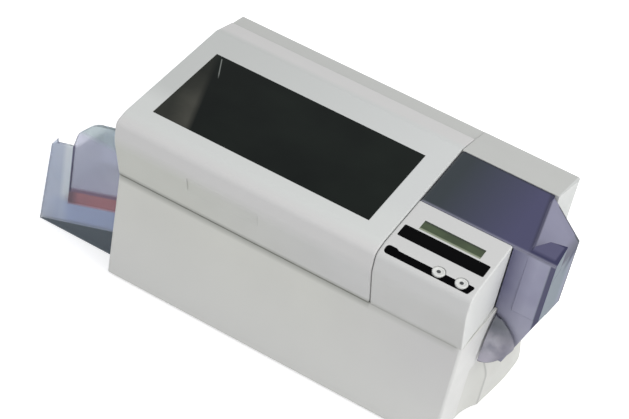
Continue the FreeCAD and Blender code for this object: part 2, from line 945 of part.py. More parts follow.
def key_band(depth):
    """Strip on the facet around the two keys: a round head, a narrower middle and a slanted tail."""
    x1 = right_edge - key_band_right_margin
    x0 = x1 - key_band_length
    y0 = nose_front + key_band_setback
    y1 = y0 + key_band_depth
    middle = y1 - key_band_notch
    points = [
        (x0, y0, key_band_round),
        (x1 - 2 * band_corner, y0, band_corner),
        (x1, y1, band_corner),
        (x1 - key_band_tail, y1, 0),
        (x1 - key_band_tail - 2 * key_band_notch, middle, 0),
        (x0 + key_band_head + 2 * key_band_notch, middle, band_corner),
        (x0 + key_band_head, y1, band_corner),
        (x0, y1, key_band_round),
    ]
    prism = plan_prism(points, overall_height - facet_drop - nose_top_radius, overall_height)
    outer = side_prism(upper_section(control_back, seam_height), x0 - cut_overrun, x1 + cut_overrun)
    section = side_face(upper_section(control_back, seam_height), x0 - cut_overrun).makeOffset2D(-depth)
    inner = section.extrude(Vector(x1 - x0 + 2 * cut_overrun, 0, 0))
    return prism.common(outer.cut(inner))


def display_box(extra, z0, z1):
    x1 = right_edge - display_right_margin
    y1 = control_back - display_back_margin
    return box(x1 - display_length - extra, x1 + extra, y1 - display_depth - extra, y1 + extra, z0, z1)


def button_places():
    return [button_left_x, button_right_x]


def control_housing():
    shell = upper_shell(control_left, right_edge, control_back, False, seam_height)
    cuts = [title_band(overlay_thickness), key_band(overlay_thickness),
            display_box(0, overall_height - shell_wall - cut_overrun, overall_height + cut_overrun)]
    for x in button_places():
        cuts.append(rod_z(button_radius + button_clearance, overall_height - shell_wall - cut_overrun,
                          overall_height + cut_overrun, x, button_y))
    cuts.append(rod_y(cover_pin_radius, control_back - shell_wall, control_back, cover_axis_x,
                      cover_axis_height))
    posts = []
    for x, y in panel_post_places():
        posts.append(rod_z(post_radius, panel_board_top, overall_height - shell_wall / 2, x, y))
    return shell.cut(cuts).fuse(posts).removeSplitter()


def panel_board_box():
    x1 = right_edge - shell_wall - chassis_margin
    y1 = control_back - shell_wall - chassis_margin
    return x1 - panel_board_length, x1, y1 - panel_board_depth, y1


def panel_post_places():
    x0, x1, y0, y1 = panel_board_box()
    back = y1 - 2 * post_radius
    return [(x0 + 2 * post_radius, back), (x1 - 2 * post_radius, back),
            (x0 + 2 * post_radius, back - panel_board_depth / 2)]


def panel_board():
    """Circuit board under the top, with a small switch under each button."""
    x0, x1, y0, y1 = panel_board_box()
    front = button_y - tact_size
    board = box(x0, x1, front, y1, panel_board_top - board_thickness, panel_board_top)
    switches = []
    for x in button_places():
        body = box(x - tact_size / 2, x + tact_size / 2, button_y - tact_size / 2,
                   button_y + tact_size / 2, panel_board_top, tact_top - tact_height / 3)
        switches.append(body)
        switches.append(rod_z(tact_size / 4, tact_top - tact_height / 3, tact_top, x, button_y))
    return joined(board, *switches)


def display_module():
    """Character display under its clear lens, on the panel board."""
    glass = display_box(-side_play, overall_height - shell_wall, overall_height - display_glass)
    frame = display_box(display_module_margin, panel_board_top, overall_height - shell_wall)
    posts = [rod_z(post_radius, panel_board_top, overall_height - shell_wall, x, y)
             for x, y in panel_post_places()]
    return joined(frame, glass).cut(posts)


def display_lens():
    return display_box(0, overall_height - display_glass, overall_height)


def panel_overlay():
    """Two black bands, let in flush: a wide one below the display and a narrow one round the keys."""
    band = key_band(overlay_thickness)
    for x in button_places():
        band = band.cut(rod_z(button_radius + button_clearance, overall_height - cut_overrun
                              - facet_drop, overall_height + cut_overrun, x, button_y))
    return group([title_band(overlay_thickness)] + band.Solids)


def button(x):
    """Round key with a retaining flange below the housing's top."""
    cap = rod_z(button_radius, button_bottom + button_flange_height, button_top, x, button_y)
    rim = [e for e in cap.Edges if e.BoundBox.ZMin > button_top - running_clearance]
    cap = cap.makeFillet(button_flange / 2, rim)
    dimple = rod_z(button_radius / 4, button_top - button_flange / 2, button_top, x, button_y)
    flange = rod_z(button_radius + button_flange, button_bottom, button_bottom + button_flange_height,
                   x, button_y)
    return joined(cap, flange).cut(dimple)


# Feeder cover

def cover_front_plane(extra):
    """Outside of the leaning front wall, moved in by extra."""
    height = overall_height - cover_bottom_height
    lean = math.atan(cover_front_lean / height)
    point = Vector(cover_end, cover_front + extra / math.cos(lean), overall_height)
    return half_space(point, Vector(0, -math.cos(lean), -math.sin(lean)), 4 * overall_height)


def cover_slope_plane(inset):
    rear = Vector(right_edge, cover_back, overall_height)
    front = Vector(right_edge + cover_slope_start_front, cover_front + cover_slope_front_offset,
                   overall_height)
    corner = Vector(right_edge + cover_slope_end, cover_back, overall_height - cover_slope_drop)
    outward = (front - rear).cross(corner - rear).normalize()
    if outward.z < 0:
        outward = outward * -1
    return half_space(rear - outward * inset, outward, 4 * overall_height)


def cover_under_plane():
    """Slanting lower right side: high at the front corner, lower at the rear."""
    front = Vector(cover_end, cover_front, cover_end_front_height)
    rear = Vector(cover_end - cover_rear_end_inset, cover_back, cover_end_rear_height)
    low = Vector(cover_end - cover_cut_inset, cover_front - cover_front_lean / 2, cover_cut_height)
    outward = (rear - front).cross(low - front).normalize()
    if outward.x < 0:
        outward = outward * -1
    return half_space(front, outward, 4 * overall_height)


def cover_body(inset):
    """Part of the cover that stands out beyond the casing, drawn in by inset for its hollow."""
    low = cover_bottom_height - (2 * cut_overrun if inset else 0)
    left = right_edge + cover_gap - (cut_overrun if inset else 0)
    end = cover_end - inset
    radius = 0 if inset else cover_corner_radius
    points = [
        (left, low, 0),
        (end, low, radius),
        (end, overall_height - inset, 0),
        (left, overall_height - inset, 0),
    ]
    front = cover_front - cover_front_lean - cut_overrun
    body = front_prism(points, front, cover_back - inset)
    lean = (cover_rear_end_inset) / (cover_back - cover_front)
    end_cut = half_space(Vector(cover_end - inset, cover_front, overall_height),
                         Vector(1, lean, 0).normalize(), 4 * overall_height)
    body = body.cut([cover_front_plane(inset), end_cut, cover_slope_plane(inset)])
    return body


def cover_plateau(inset):
    """Level thumb plate at the front right corner, above the slope."""
    x1 = cover_end - inset
    x0 = cover_end - plateau_length + inset
    y0 = cover_front + inset
    y1 = cover_front + plateau_depth - inset
    points = [
        (x0, y0, 0),
        (x1, y0, 0),
        (x1 - cover_wall, y1, 0),
        (x1 - plateau_notch_length + 2 * inset, y1 - plateau_notch_depth, 0),
        (x0, y0 + cover_slope_front_offset - inset, 0),
    ]
    return plan_prism(points, cover_end_front_height, overall_height - inset)


def feeder_cover():
    outer = cover_body(0).fuse(cover_plateau(0)).cut(cover_under_plane())
    inner = cover_body(cover_wall).fuse(cover_plateau(cover_wall))
    shell = outer.cut(inner)
    top = box(cover_axis_x, right_edge + cover_gap + cover_wall, cover_front, cover_back,
              overall_height - cover_wall, overall_height)
    bar = rod_y(cover_bar_radius, cover_front, cover_back, cover_axis_x, cover_axis_height)
    cover = shell.fuse([top, bar]).removeSplitter()
    holes = []
    depth = cover_pin_length - shell_wall + running_clearance
    for y0, y1 in ((cover_front, cover_front + depth), (cover_back - depth, cover_back)):
        holes.append(rod_y(cover_pin_radius + running_clearance, y0, y1, cover_axis_x, cover_axis_height))
    clear_plan = plan_face(base_plan(0), 0).makeOffset2D(cover_gap)
    holes.append(clear_plan.extrude(Vector(0, 0, seam_height + cover_gap)))
    block_side = box(right_edge - cut_overrun, right_edge + right_flare + cut_overrun, bay_back - cover_gap,
                     rear_edge, seam_height, overall_height)
    return cover.cut(holes + [block_side])


def hinge_pins():
    """Steel pins: two along the rear for the lid, two across for the feeder cover."""
    front = rod_y(cover_pin_radius, control_back - shell_wall,
                  control_back - shell_wall + cover_pin_length, cover_axis_x, cover_axis_height)
    rear = rod_y(cover_pin_radius, bay_back + shell_wall - cover_pin_length, bay_back + shell_wall,
                 cover_axis_x, cover_axis_height)
    return group([lid_pin(x) for x in hinge_arm_places()] + [front, rear])


# Output bin

def bin_slope():
    return bin_floor_rise / (bin_right - bin_left)


def bin_front_wall(y0, y1):
    """Front wall of the bin: a horn at the far end, a step, then a rising curved crest."""
    points = [
        (bin_left, 0, 0),
        (bin_right, 0, 0),
        (bin_right, bin_front_height, 0),
        (bin_left + bin_crest_reach, bin_crest_height, bin_crest_reach / 2),
        (bin_left + bin_flank_reach, bin_flank_height, bin_end_lean),
        (bin_left + bin_step_reach, bin_step_height, bin_wall / 2),
        (bin_left + bin_horn_reach + bin_wall / 3, bin_horn_height - bin_horn_step, 0),
        (bin_left + bin_horn_reach, bin_horn_height, 0),
        (bin_left + bin_end_lean, bin_corner_height, 0),
    ]
    return front_prism(points, y0, y1)


def bin_back_wall(y0, y1):
    """Low back wall of the bin, rising towards the casing."""
    lean = bin_end_lean * bin_rear_height / bin_corner_height
    points = [
        (bin_left, 0, 0),
        (bin_right, 0, 0),
        (bin_right, bin_rear_right_height, 0),
        (bin_left + lean, bin_rear_height, 0),
    ]
    return front_prism(points, y0, y1)


def bin_end_wall():
    """Leaning end wall whose top falls from the front corner to the back."""
    slab_points = [
        (bin_left, 0, 0),
        (bin_left + bin_wall, 0, 0),
        (bin_left + bin_wall + bin_end_lean, bin_corner_height, 0),
        (bin_left + bin_end_lean, bin_corner_height, 0),
    ]
    slab = front_prism(slab_points, bin_front, bin_back)
    profile = [
        (bin_front, 0, 0),
        (bin_back, 0, 0),
        (bin_back, bin_rear_height, 0),
        (bin_front + bin_end_knee_depth, bin_end_knee_height, bin_end_knee_depth / 2),
        (bin_front + bin_end_shoulder_depth, bin_corner_height - bin_end_shoulder_drop, bin_wall),
        (bin_front, bin_corner_height, 0),
    ]
    return slab.common(side_prism(profile, bin_left, bin_left + bin_wall + bin_end_lean))


def bin_panel():
    """Second layer behind the front wall, right of the step and clear of the cards below."""
    x0 = bin_left + bin_step_reach
    low = bin_floor_left_height + bin_panel_clearance
    points = [
        (x0, low + bin_slope() * bin_step_reach, 0),
        (bin_right, low + bin_slope() * (bin_right - bin_left), 0),
        (bin_right, bin_front_height, 0),
        (x0, bin_front_height, 0),
    ]
    inside = bin_front + bin_wall
    layer = bin_front_wall(inside, inside + bin_panel_thickness)
    return layer.common(front_prism(points, inside, inside + bin_panel_thickness))


def output_hopper():
    """Clear bin that hooks on the left end of the casing; its floor falls away from it."""
    front = bin_front_wall(bin_front, bin_front + bin_wall)
    back = bin_back_wall(bin_back - bin_wall, bin_back)
    end = bin_end_wall()
    floor_points = [
        (bin_left, bin_floor_left_height - bin_floor_thickness, 0),
        (bin_right, bin_floor_left_height + bin_floor_rise - bin_floor_thickness, 0),
        (bin_right, bin_floor_left_height + bin_floor_rise, 0),
        (bin_left, bin_floor_left_height, 0),
    ]
    floor = front_prism(floor_points, bin_front, bin_back)
    hooks = []
    for y in hook_places():
        arm = box(bin_right - bin_wall, left_edge + shell_wall + bin_hook_clearance + bin_wall, y,
                  y + bin_hook_depth, bin_hook_level - bin_wall, bin_hook_level)
        tip = box(left_edge + shell_wall + bin_hook_clearance,
                  left_edge + shell_wall + bin_hook_clearance + bin_wall, y, y + bin_hook_depth,
                  bin_hook_level - bin_hook_height, bin_hook_level)
        hooks.extend([arm, tip])
        reach = bin_front if y < path_middle else y
        far = y + bin_hook_depth if y < path_middle else bin_back
        hooks.append(box(bin_right - bin_wall, bin_right, reach, far,
                         bin_hook_level - bin_hook_height, bin_hook_level))
    return joined(front, back, end, floor, bin_panel(), *hooks)


def output_cards():
    """Finished cards, slid down the bin's floor and forward against each other."""
    angle = math.atan(bin_slope())
    pile = Part.makeBox(card_length, card_width, output_card_count * card_thickness)
    pile.rotate(Vector(0, 0, 0), Vector(0, 1, 0), -math.degrees(angle))
    x0 = bin_left + output_pile_inset + output_card_count * card_thickness * math.sin(angle)
    lift = bin_floor_left_height + bin_slope() * (x0 - bin_left) + side_play / 10
    pile.translate(Vector(x0, bin_front + output_pile_front, lift))
    return pile


# Print engine

def plate_outline():
    """Side plate: low along the card path, with a tower in the middle for the ribbon and the head."""
    x0 = exit_x - plate_left_reach
    x1 = plate_right
    tower0 = flipper_x + plate_tower_left
    tower1 = lid_right - shell_wall - plate_tower_right
    under_tray = card_path_height - tray_floor
    tray_start = tray_stop - gate_thickness - tray_stop_thickness - 2 * gate_guide
    return [
        (x0, chassis_top, 0),
        (x1, chassis_top, 0),
        (x1, under_tray, 0),
        (tray_start, under_tray, 0),
        (tray_start, plate_low_height, 0),
        (tower1, plate_low_height, corner_radius),
        (tower1, plate_top_height, corner_radius),
        (tower0, plate_top_height, corner_radius),
        (tower0, plate_low_height, corner_radius),
        (x0, plate_low_height, corner_radius),
    ]


def shaft_table():
    """Every shaft that crosses both plates: x, z and the radius of its bore."""
    bores = [(x, drive_axis_height, drive_shaft_radius) for x in drive_places()]
    bores += [(x, pinch_axis_height, pinch_shaft_radius) for x in pinch_places()]
    bores.append((feed_x, feed_axis_height, drive_shaft_radius))
    bores.append((flipper_x, card_path_height, flipper_stub_radius))
    return bores


def drive_places():
    return [exit_x, second_x, platen_x, first_x, cleaning_x]


def pinch_places():
    return [exit_x, second_x, first_x]


def spool_places():
    return [supply_x, take_up_x]


def side_plate(y0, y1):
    plate = front_prism(plate_outline(), y0, y1)
    cuts = []
    for x, z, radius in shaft_table():
        cuts.append(rod_y(radius + running_clearance, y0, y1, x, z))
    for x in spool_places():
        radius = spool_shaft_radius + running_clearance
        cuts.append(rod_y(radius, y0, y1, x, spool_axis_height))
        cuts.append(box(x - radius, x + radius, y0, y1, spool_axis_height, plate_top_height))
    radius = head_pin_radius + 2 * running_clearance
    low = card_path_height + head_bottom_gap + head_pin_height
    cuts.append(rod_y(radius, y0, y1, platen_x, low))
    cuts.append(rod_y(radius, y0, y1, platen_x, low + head_lift))
    cuts.append(box(platen_x - radius, platen_x + radius, y0, y1, low, low + head_lift))
    for x, z in spacer_places():
        cuts.append(rod_y(spacer_screw_radius, y0, y1, x, z))
    return plate.cut(cuts)


def plate_foot(y0, y1):
    """Turned-out foot of a side plate on the chassis."""
    x0 = exit_x - plate_left_reach
    return box(x0, plate_right, y0, y1, chassis_top, chassis_top + plate_thickness)


def front_side_plate():
    plate = side_plate(plate_front_outer, plate_front_inner)
    foot = plate_foot(plate_front_outer - plate_foot_depth, plate_front_outer)
    lever_pin = rod_y(lever_pin_radius, plate_front_outer - lever_thickness - 2 * side_play,
                      plate_front_outer, platen_x, lever_axis_height)
    return joined(plate, foot, lever_pin)


def rear_side_plate():
    plate = side_plate(plate_rear_inner, plate_rear_outer)
    foot = plate_foot(plate_rear_outer, plate_rear_outer + plate_foot_depth)
    z = motor_axis_height()
    pilot = rod_y(motor_pilot_radius, plate_rear_inner, plate_rear_outer, platen_x, z)
    return joined(plate, foot).cut(pilot)


def spacer_places():
    low = chassis_top + 4 * spacer_radius
    high = card_path_height - drive_roller_radius * 3
    return [(exit_x, low), (exit_x, high), (second_x, low), (first_x, low), (cleaning_x, low)]


def plate_spacers():
    """Round spacers that screw the two side plates together."""
    bars = []
    for x, z in spacer_places():
        bar = rod_y(spacer_radius, plate_front_inner, plate_rear_inner, x, z)
        studs = rod_y(spacer_screw_radius, plate_front_outer, plate_rear_outer, x, z)
        bars.append(joined(bar, studs))
    return group(bars)


def drive_shaft(x):
    """Steel shaft from the front plate to the pulley behind the rear plate."""
    return rod_y(drive_shaft_radius, plate_front_outer - shaft_end, drive_shaft_end + shaft_end, x,
                 drive_axis_height)


def pulley(x):
    return tube_y(pulley_radius, drive_shaft_radius, pulley_front, pulley_front + pulley_width, x,
                  drive_axis_height)


def transport_roller(x):
    """Rubber sleeve on its shaft, with the belt pulley."""
    sleeve = rod_y(drive_roller_radius, path_middle - drive_roller_length / 2,
                   path_middle + drive_roller_length / 2, x, drive_axis_height)
    return joined(drive_shaft(x), sleeve, pulley(x))


def platen_roller():
    sleeve = tube_y(drive_roller_radius, drive_shaft_radius, path_middle - drive_roller_length / 2,
                    path_middle + drive_roller_length / 2, platen_x, drive_axis_height)
    return sleeve


def platen_shaft():
    return joined(drive_shaft(platen_x), pulley(platen_x))


def pinch_roller(x):
    shaft = rod_y(pinch_shaft_radius, plate_front_outer - shaft_end, plate_rear_outer + shaft_end, x,
                  pinch_axis_height)
    sleeve = rod_y(pinch_roller_radius, path_middle - pinch_roller_length / 2,
                   path_middle + pinch_roller_length / 2, x, pinch_axis_height)
    return joined(shaft, sleeve)


def feed_roller():
    shaft = rod_y(drive_shaft_radius, plate_front_outer - shaft_end,
                  plate_rear_outer + small_motor_shaft_depth, feed_x, feed_axis_height)
    sleeve = rod_y(feed_roller_radius - side_play, path_middle - feed_roller_length / 2,
                   path_middle + feed_roller_length / 2, feed_x, feed_axis_height)
    return joined(shaft, sleeve)


def cleaning_roller():
    cheek_in = plate_spacing / 2 - side_play - cleaning_cheek
    shaft = rod_y(pinch_shaft_radius, path_middle - cheek_in - cleaning_cheek,
                  path_middle + cheek_in + cleaning_cheek, cleaning_x, cleaning_axis_height)
    sleeve = rod_y(cleaning_roller_radius, path_middle - drive_roller_length / 2,
                   path_middle + drive_roller_length / 2, cleaning_x, cleaning_axis_height)
    return joined(shaft, sleeve)


def cleaning_cassette():
    """Drop-in holder of the tacky cleaning roller."""
    half = plate_spacing / 2
    x0 = cleaning_x - cleaning_cassette_length / 2
    x1 = cleaning_x + cleaning_cassette_length / 2
    z0 = card_path_height + nip_gap
    z1 = z0 + cleaning_cassette_height
    top = box(x0, x1, path_middle - half, path_middle + half, z1 - cleaning_cheek, z1)
    cheeks = [
        box(x0, x1, path_middle - half, path_middle - half + cleaning_cheek + side_play, z0, z1),
        box(x0, x1, path_middle + half - cleaning_cheek - side_play, path_middle + half, z0, z1),
    ]
    tab = box(cleaning_x - cleaning_cheek, cleaning_x + cleaning_cheek, path_middle - half / 3,
              path_middle + half / 3, z1, z1 + cleaning_cheek * 3)
    body = joined(top, tab, *cheeks)
    bore = rod_y(pinch_shaft_radius + running_clearance, path_middle - half, path_middle + half,
                 cleaning_x, cleaning_axis_height)
    return body.cut(bore)


# Drive train

def motor_axis_height():
    return drive_axis_height - gear_module * (drive_gear_teeth + pinion_teeth) / 2


def gear_outline(teeth, x, z, start, y):
    """Spur gear outline of straight-flanked teeth; a tooth is centred on the start angle."""
    pitch = gear_module * teeth / 2
    step = 2 * math.pi / teeth
    tip = pitch + tooth_head_share * gear_module
    root = pitch - tooth_root_share * gear_module
    half_pitch = step / 4 - gear_backlash / pitch / 2
    half_root = half_pitch * tooth_root_width_share
    half_tip = half_pitch * tooth_tip_width_share
    corners = []
    for i in range(teeth):
        centre = start + i * step
        for radius, turn in ((root, -half_root), (tip, -half_tip), (tip, half_tip), (root, half_root)):
            angle = centre + turn
            corners.append(Vector(x + radius * math.cos(angle), y, z + radius * math.sin(angle)))
    return Part.Face(Part.makePolygon(corners + [corners[0]]))


def drive_gear():
    """Large gear on the platen shaft, with a gap over the pinion."""
    start = -math.pi / 2 + math.pi / drive_gear_teeth
    face = gear_outline(drive_gear_teeth, platen_x, drive_axis_height, start, gear_front)
    gear = face.extrude(Vector(0, gear_width, 0))
    cuts = [rod_y(drive_shaft_radius, gear_front, gear_front + gear_width, platen_x, drive_axis_height)]
    ring = gear_module * drive_gear_teeth / 2 * gear_hole_ring_share
    for i in range(gear_hole_count):
        angle = 2 * math.pi * i / gear_hole_count
        cuts.append(rod_y(ring / 3, gear_front, gear_front + gear_width,
                          platen_x + ring * math.cos(angle), drive_axis_height + ring * math.sin(angle)))
    return gear.cut(cuts)


def motor_pinion():
    """Motor shaft with its pinion, a tooth pointing up into the gear."""
    z = motor_axis_height()
    face = gear_outline(pinion_teeth, platen_x, z, math.pi / 2, gear_front)
    pinion = face.extrude(Vector(0, gear_width, 0))
    shaft = rod_y(motor_shaft_radius, plate_rear_inner - motor_depth / 2, gear_front + gear_width,
                  platen_x, z)
    return joined(pinion, shaft)


def main_motor():
    """Square stepper motor behind its pilot ring, fixed to the inside of the rear plate."""
    z = motor_axis_height()
    half = motor_size / 2
    body = box(platen_x - half, platen_x + half, plate_rear_inner - motor_depth, plate_rear_inner,
               z - half, z + half)
    edges = [e for e in body.Edges if e.BoundBox.YLength > motor_depth / 2]
    body = body.makeChamfer(corner_radius, edges)
    pilot = rod_y(motor_pilot_radius, plate_rear_inner, plate_rear_outer, platen_x, z)
    bore = rod_y(motor_shaft_radius + running_clearance, plate_rear_inner - motor_depth / 2 - side_play,
                 plate_rear_outer, platen_x, z)
    return joined(body, pilot).cut(bore)


def small_motor(x, z, face_y, direction):
    """Small square motor on the outside of a plate, with a bore for the shaft that it turns."""
    half = small_motor_size / 2
    y0 = face_y if direction > 0 else face_y - small_motor_depth
    body = box(x - half, x + half, y0, y0 + small_motor_depth, z - half, z + half)
    edges = [e for e in body.Edges if e.BoundBox.YLength > small_motor_depth / 2]
    return body.makeChamfer(corner_radius, edges)


def small_motors():
    """Feed motor behind the rear plate and flipper motor on the front plate."""
    feed = small_motor(feed_x, feed_axis_height, plate_rear_outer, 1)
    feed = feed.cut(rod_y(drive_shaft_radius + running_clearance, plate_rear_outer,
                          plate_rear_outer + small_motor_shaft_depth + side_play, feed_x,
                          feed_axis_height))
    turn = small_motor(flipper_x, card_path_height, plate_front_outer, -1)
    turn = turn.cut(rod_y(flipper_stub_radius + running_clearance,
                          plate_front_outer - flipper_stub_length - side_play, plate_front_outer,
                          flipper_x, card_path_height))
    return group([feed, turn])


def timing_belt():
    """Flat loop round the five pulleys."""
    y0 = pulley_front + belt_gap
    y1 = pulley_front + pulley_width - belt_gap
    inner = pulley_radius + belt_gap
    outer = inner + belt_thickness
    loops = []
    for radius in (outer, inner):
        block = box(exit_x, cleaning_x, y0, y1, drive_axis_height - radius, drive_axis_height + radius)
        loops.append(block.fuse([rod_y(radius, y0, y1, exit_x, drive_axis_height),
                                 rod_y(radius, y0, y1, cleaning_x, drive_axis_height)]))
    return loops[0].cut(loops[1]).removeSplitter()


# Print head

def head_carriage():
    """Moulded carriage between the plates, guided by a pin at each side."""
    half = head_length / 2
    wide = head_width / 2
    z0 = card_path_height + head_bottom_gap
    z1 = z0 + head_height
    body = box(platen_x - half, platen_x + half, path_middle - wide, path_middle + wide, z0, z1)
    hollow = box(platen_x - half + shell_wall, platen_x + half - shell_wall,
                 path_middle - wide + shell_wall, path_middle + wide - shell_wall,
                 z0 + head_bar_height, z1 + cut_overrun)
    seat = box(platen_x - head_bar_length / 2, platen_x + head_bar_length / 2, path_middle - wide,
               path_middle + wide, z0 - cut_overrun, z0 + head_bar_height)
    body = body.cut([hollow, seat])
    pins = []
    z = z0 + head_pin_height
    reach = plate_spacing / 2 + plate_thickness
    for y0, y1 in ((path_middle - reach, path_middle - wide + shell_wall),
                   (path_middle + wide - shell_wall, path_middle + reach)):
        pins.append(rod_y(head_pin_radius, y0, y1, platen_x, z))
    return joined(body, *pins)


def print_head():
    """Thermal bar under the carriage with its finned heat sink."""
    z0 = card_path_height + nip_gap + film_thickness + film_gap / 2
    wide = head_width / 2
    base_top = card_path_height + head_bottom_gap + head_bar_height
    bar = box(platen_x - head_bar_length / 2, platen_x + head_bar_length / 2, path_middle - wide,
              path_middle + wide, z0, base_top)
    sink = box(platen_x - head_bar_length / 2, platen_x + head_bar_length / 2,
               path_middle - wide + shell_wall, path_middle + wide - shell_wall, base_top,
               base_top + head_bar_height)
    fins = []
    pitch = (head_width - 2 * shell_wall - head_fin_thickness) / (head_fin_count - 1)
    for i in range(head_fin_count):
        y0 = path_middle - wide + shell_wall + i * pitch
        fins.append(box(platen_x - head_bar_length / 2, platen_x + head_bar_length / 2, y0,
                        y0 + head_fin_thickness, base_top + head_bar_height,
                        base_top + head_bar_height + head_fin_height))
    return joined(bar, sink, *fins)


def head_lever():
    """Lever on the front plate that lifts the print head; it points left when the head is down."""
    y1 = plate_front_outer - side_play
    y0 = y1 - lever_thickness
    half = lever_width / 2
    bar = box(platen_x - lever_length, platen_x, y0, y1, lever_axis_height - half,
              lever_axis_height + half)
    boss = rod_y(half + side_play, y0, y1, platen_x, lever_axis_height)
    knob = rod_y(lever_knob_radius, y0 - lever_knob_length, y1, platen_x - lever_length,
                 lever_axis_height)
    bore = rod_y(lever_pin_radius + running_clearance, y0, y1, platen_x, lever_axis_height)
    return joined(bar, boss, knob).cut(bore)


# Ribbon

def spool(x):
    """Core with end flanges, on journals that drop into the open slots of the plates."""
    half = spool_length / 2
    core = rod_y(spool_core_radius, path_middle - half, path_middle + half, x, spool_axis_height)
    reach = plate_spacing / 2 + plate_thickness + shaft_end
    shaft = rod_y(spool_shaft_radius, path_middle - reach, path_middle + reach, x, spool_axis_height)
    flanges = [
        rod_y(spool_flange_radius, path_middle - half, path_middle - half + spool_flange_thickness, x,
              spool_axis_height),
        rod_y(spool_flange_radius, path_middle + half - spool_flange_thickness, path_middle + half, x,
              spool_axis_height),
    ]
    return joined(core, shaft, *flanges)


def ribbon_roll(x, radius):
    return tube_y(radius, spool_core_radius, path_middle - roll_length / 2,
                  path_middle + roll_length / 2, x, spool_axis_height)


def ribbon_film():
    """Web from the supply roll, under the print head and up to the take-up roll."""
    low = card_path_height + nip_gap
    half = head_length / 2 + film_thickness + film_gap
    supply_r = supply_roll_radius + film_gap
    take_up_r = take_up_roll_radius + film_gap
    right_low = Vector(platen_x + half, 0, low)
    left_low = Vector(platen_x - half, 0, low)
    right_top = tangent_point(right_low, supply_x, supply_r + film_thickness, -1)
    left_top = tangent_point(left_low, take_up_x, take_up_r + film_thickness, 1)
    y0 = path_middle - roll_length / 2
    pieces = [
        box(platen_x - half, platen_x + half, y0, y0 + roll_length, low, low + film_thickness),
        film_strip(right_low, right_top, 1, y0),
        film_strip(left_low, left_top, -1, y0),
    ]
    return joined(*pieces)


def film_strip(low, top, side, y0):
    """Thin slanting strip whose upper side faces the print head."""
    along = Vector(top.x - low.x, 0, top.z - low.z).normalize()
    across = Vector(-along.z, 0, along.x) * (film_thickness * side)
    corners = [low, top, top + across, low + across]
    corners = [Vector(c.x, y0, c.z) for c in corners]
    return Part.Face(Part.makePolygon(corners + [corners[0]])).extrude(Vector(0, roll_length, 0))


def tangent_point(start, x, radius, side):
    """Where a line from start touches a circle at (x, spool axis), on the outer or inner side."""
    dx = x - start.x
    dz = spool_axis_height - start.z
    distance = math.hypot(dx, dz)
    turn = math.atan2(dz, dx) + side * math.asin(radius / distance)
    reach = math.sqrt(distance ** 2 - radius ** 2)
    return Vector(start.x + reach * math.cos(turn), 0, start.z + reach * math.sin(turn))


# Flipper

def flipper_frame():
    """Turning cradle for one card: two cheeks, guides above and below the card, and stub shafts."""
    half = flipper_length / 2
    wide = flipper_width / 2
    tall = flipper_height / 2
    z = card_path_height
    points = [
        (flipper_x - half, z - tall, tall / 2),
        (flipper_x + half, z - tall, tall / 2),
        (flipper_x + half, z + tall, tall / 2),
        (flipper_x - half, z + tall, tall / 2),
    ]
    pieces = []
    for y0 in (path_middle - wide, path_middle + wide - flipper_cheek):
        pieces.append(front_prism(points, y0, y0 + flipper_cheek))
    for z0 in (z - flipper_slot / 2 - flipper_guide, z + flipper_slot / 2):
        guide = box(flipper_x - half, flipper_x + half, path_middle - wide + flipper_cheek / 2,
                    path_middle + wide - flipper_cheek / 2, z0, z0 + flipper_guide)
        pieces.append(guide)
    front_end = plate_front_outer - flipper_stub_length
    pieces.append(rod_y(flipper_stub_radius, front_end, path_middle - wide + flipper_cheek, flipper_x, z))
    pieces.append(rod_y(flipper_stub_radius, path_middle + wide - flipper_cheek,
                        plate_rear_outer + shaft_end, flipper_x, z))
    frame = joined(*pieces)
    cuts = []
    x = flipper_x - flipper_roller_offset
    low = flipper_roller_height()
    room = 2 * side_play
    for y0 in (path_middle - wide, path_middle + wide - flipper_cheek):
        cuts.append(rod_y(flipper_axle_radius + running_clearance, y0, y0 + flipper_cheek, x, low))
    cuts.append(box(x - flipper_roller_radius - room, x + flipper_roller_radius + room,
                    path_middle - flipper_roller_length / 2 - room,
                    path_middle + flipper_roller_length / 2 + room,
                    z - flipper_slot / 2 - flipper_guide, z - flipper_slot / 2))
    cuts.append(box(x - flipper_axle_radius - side_play, x + flipper_axle_radius + side_play,
                    path_middle - wide + flipper_cheek, path_middle + wide - flipper_cheek,
                    z - flipper_slot / 2 - flipper_guide, z - flipper_slot / 2))
    return frame.cut(cuts)


def flipper_roller_height():
    return card_path_height - nip_gap / 2 - flipper_roller_radius - side_play


def flipper_roller():
    """Small roller in the cradle that draws the card in and holds it while it turns over."""
    x = flipper_x - flipper_roller_offset
    z = flipper_roller_height()
    wide = flipper_width / 2
    axle = rod_y(flipper_axle_radius, path_middle - wide, path_middle + wide, x, z)
    sleeve = rod_y(flipper_roller_radius, path_middle - flipper_roller_length / 2,
                   path_middle + flipper_roller_length / 2, x, z)
    return joined(axle, sleeve)


# Feed tray

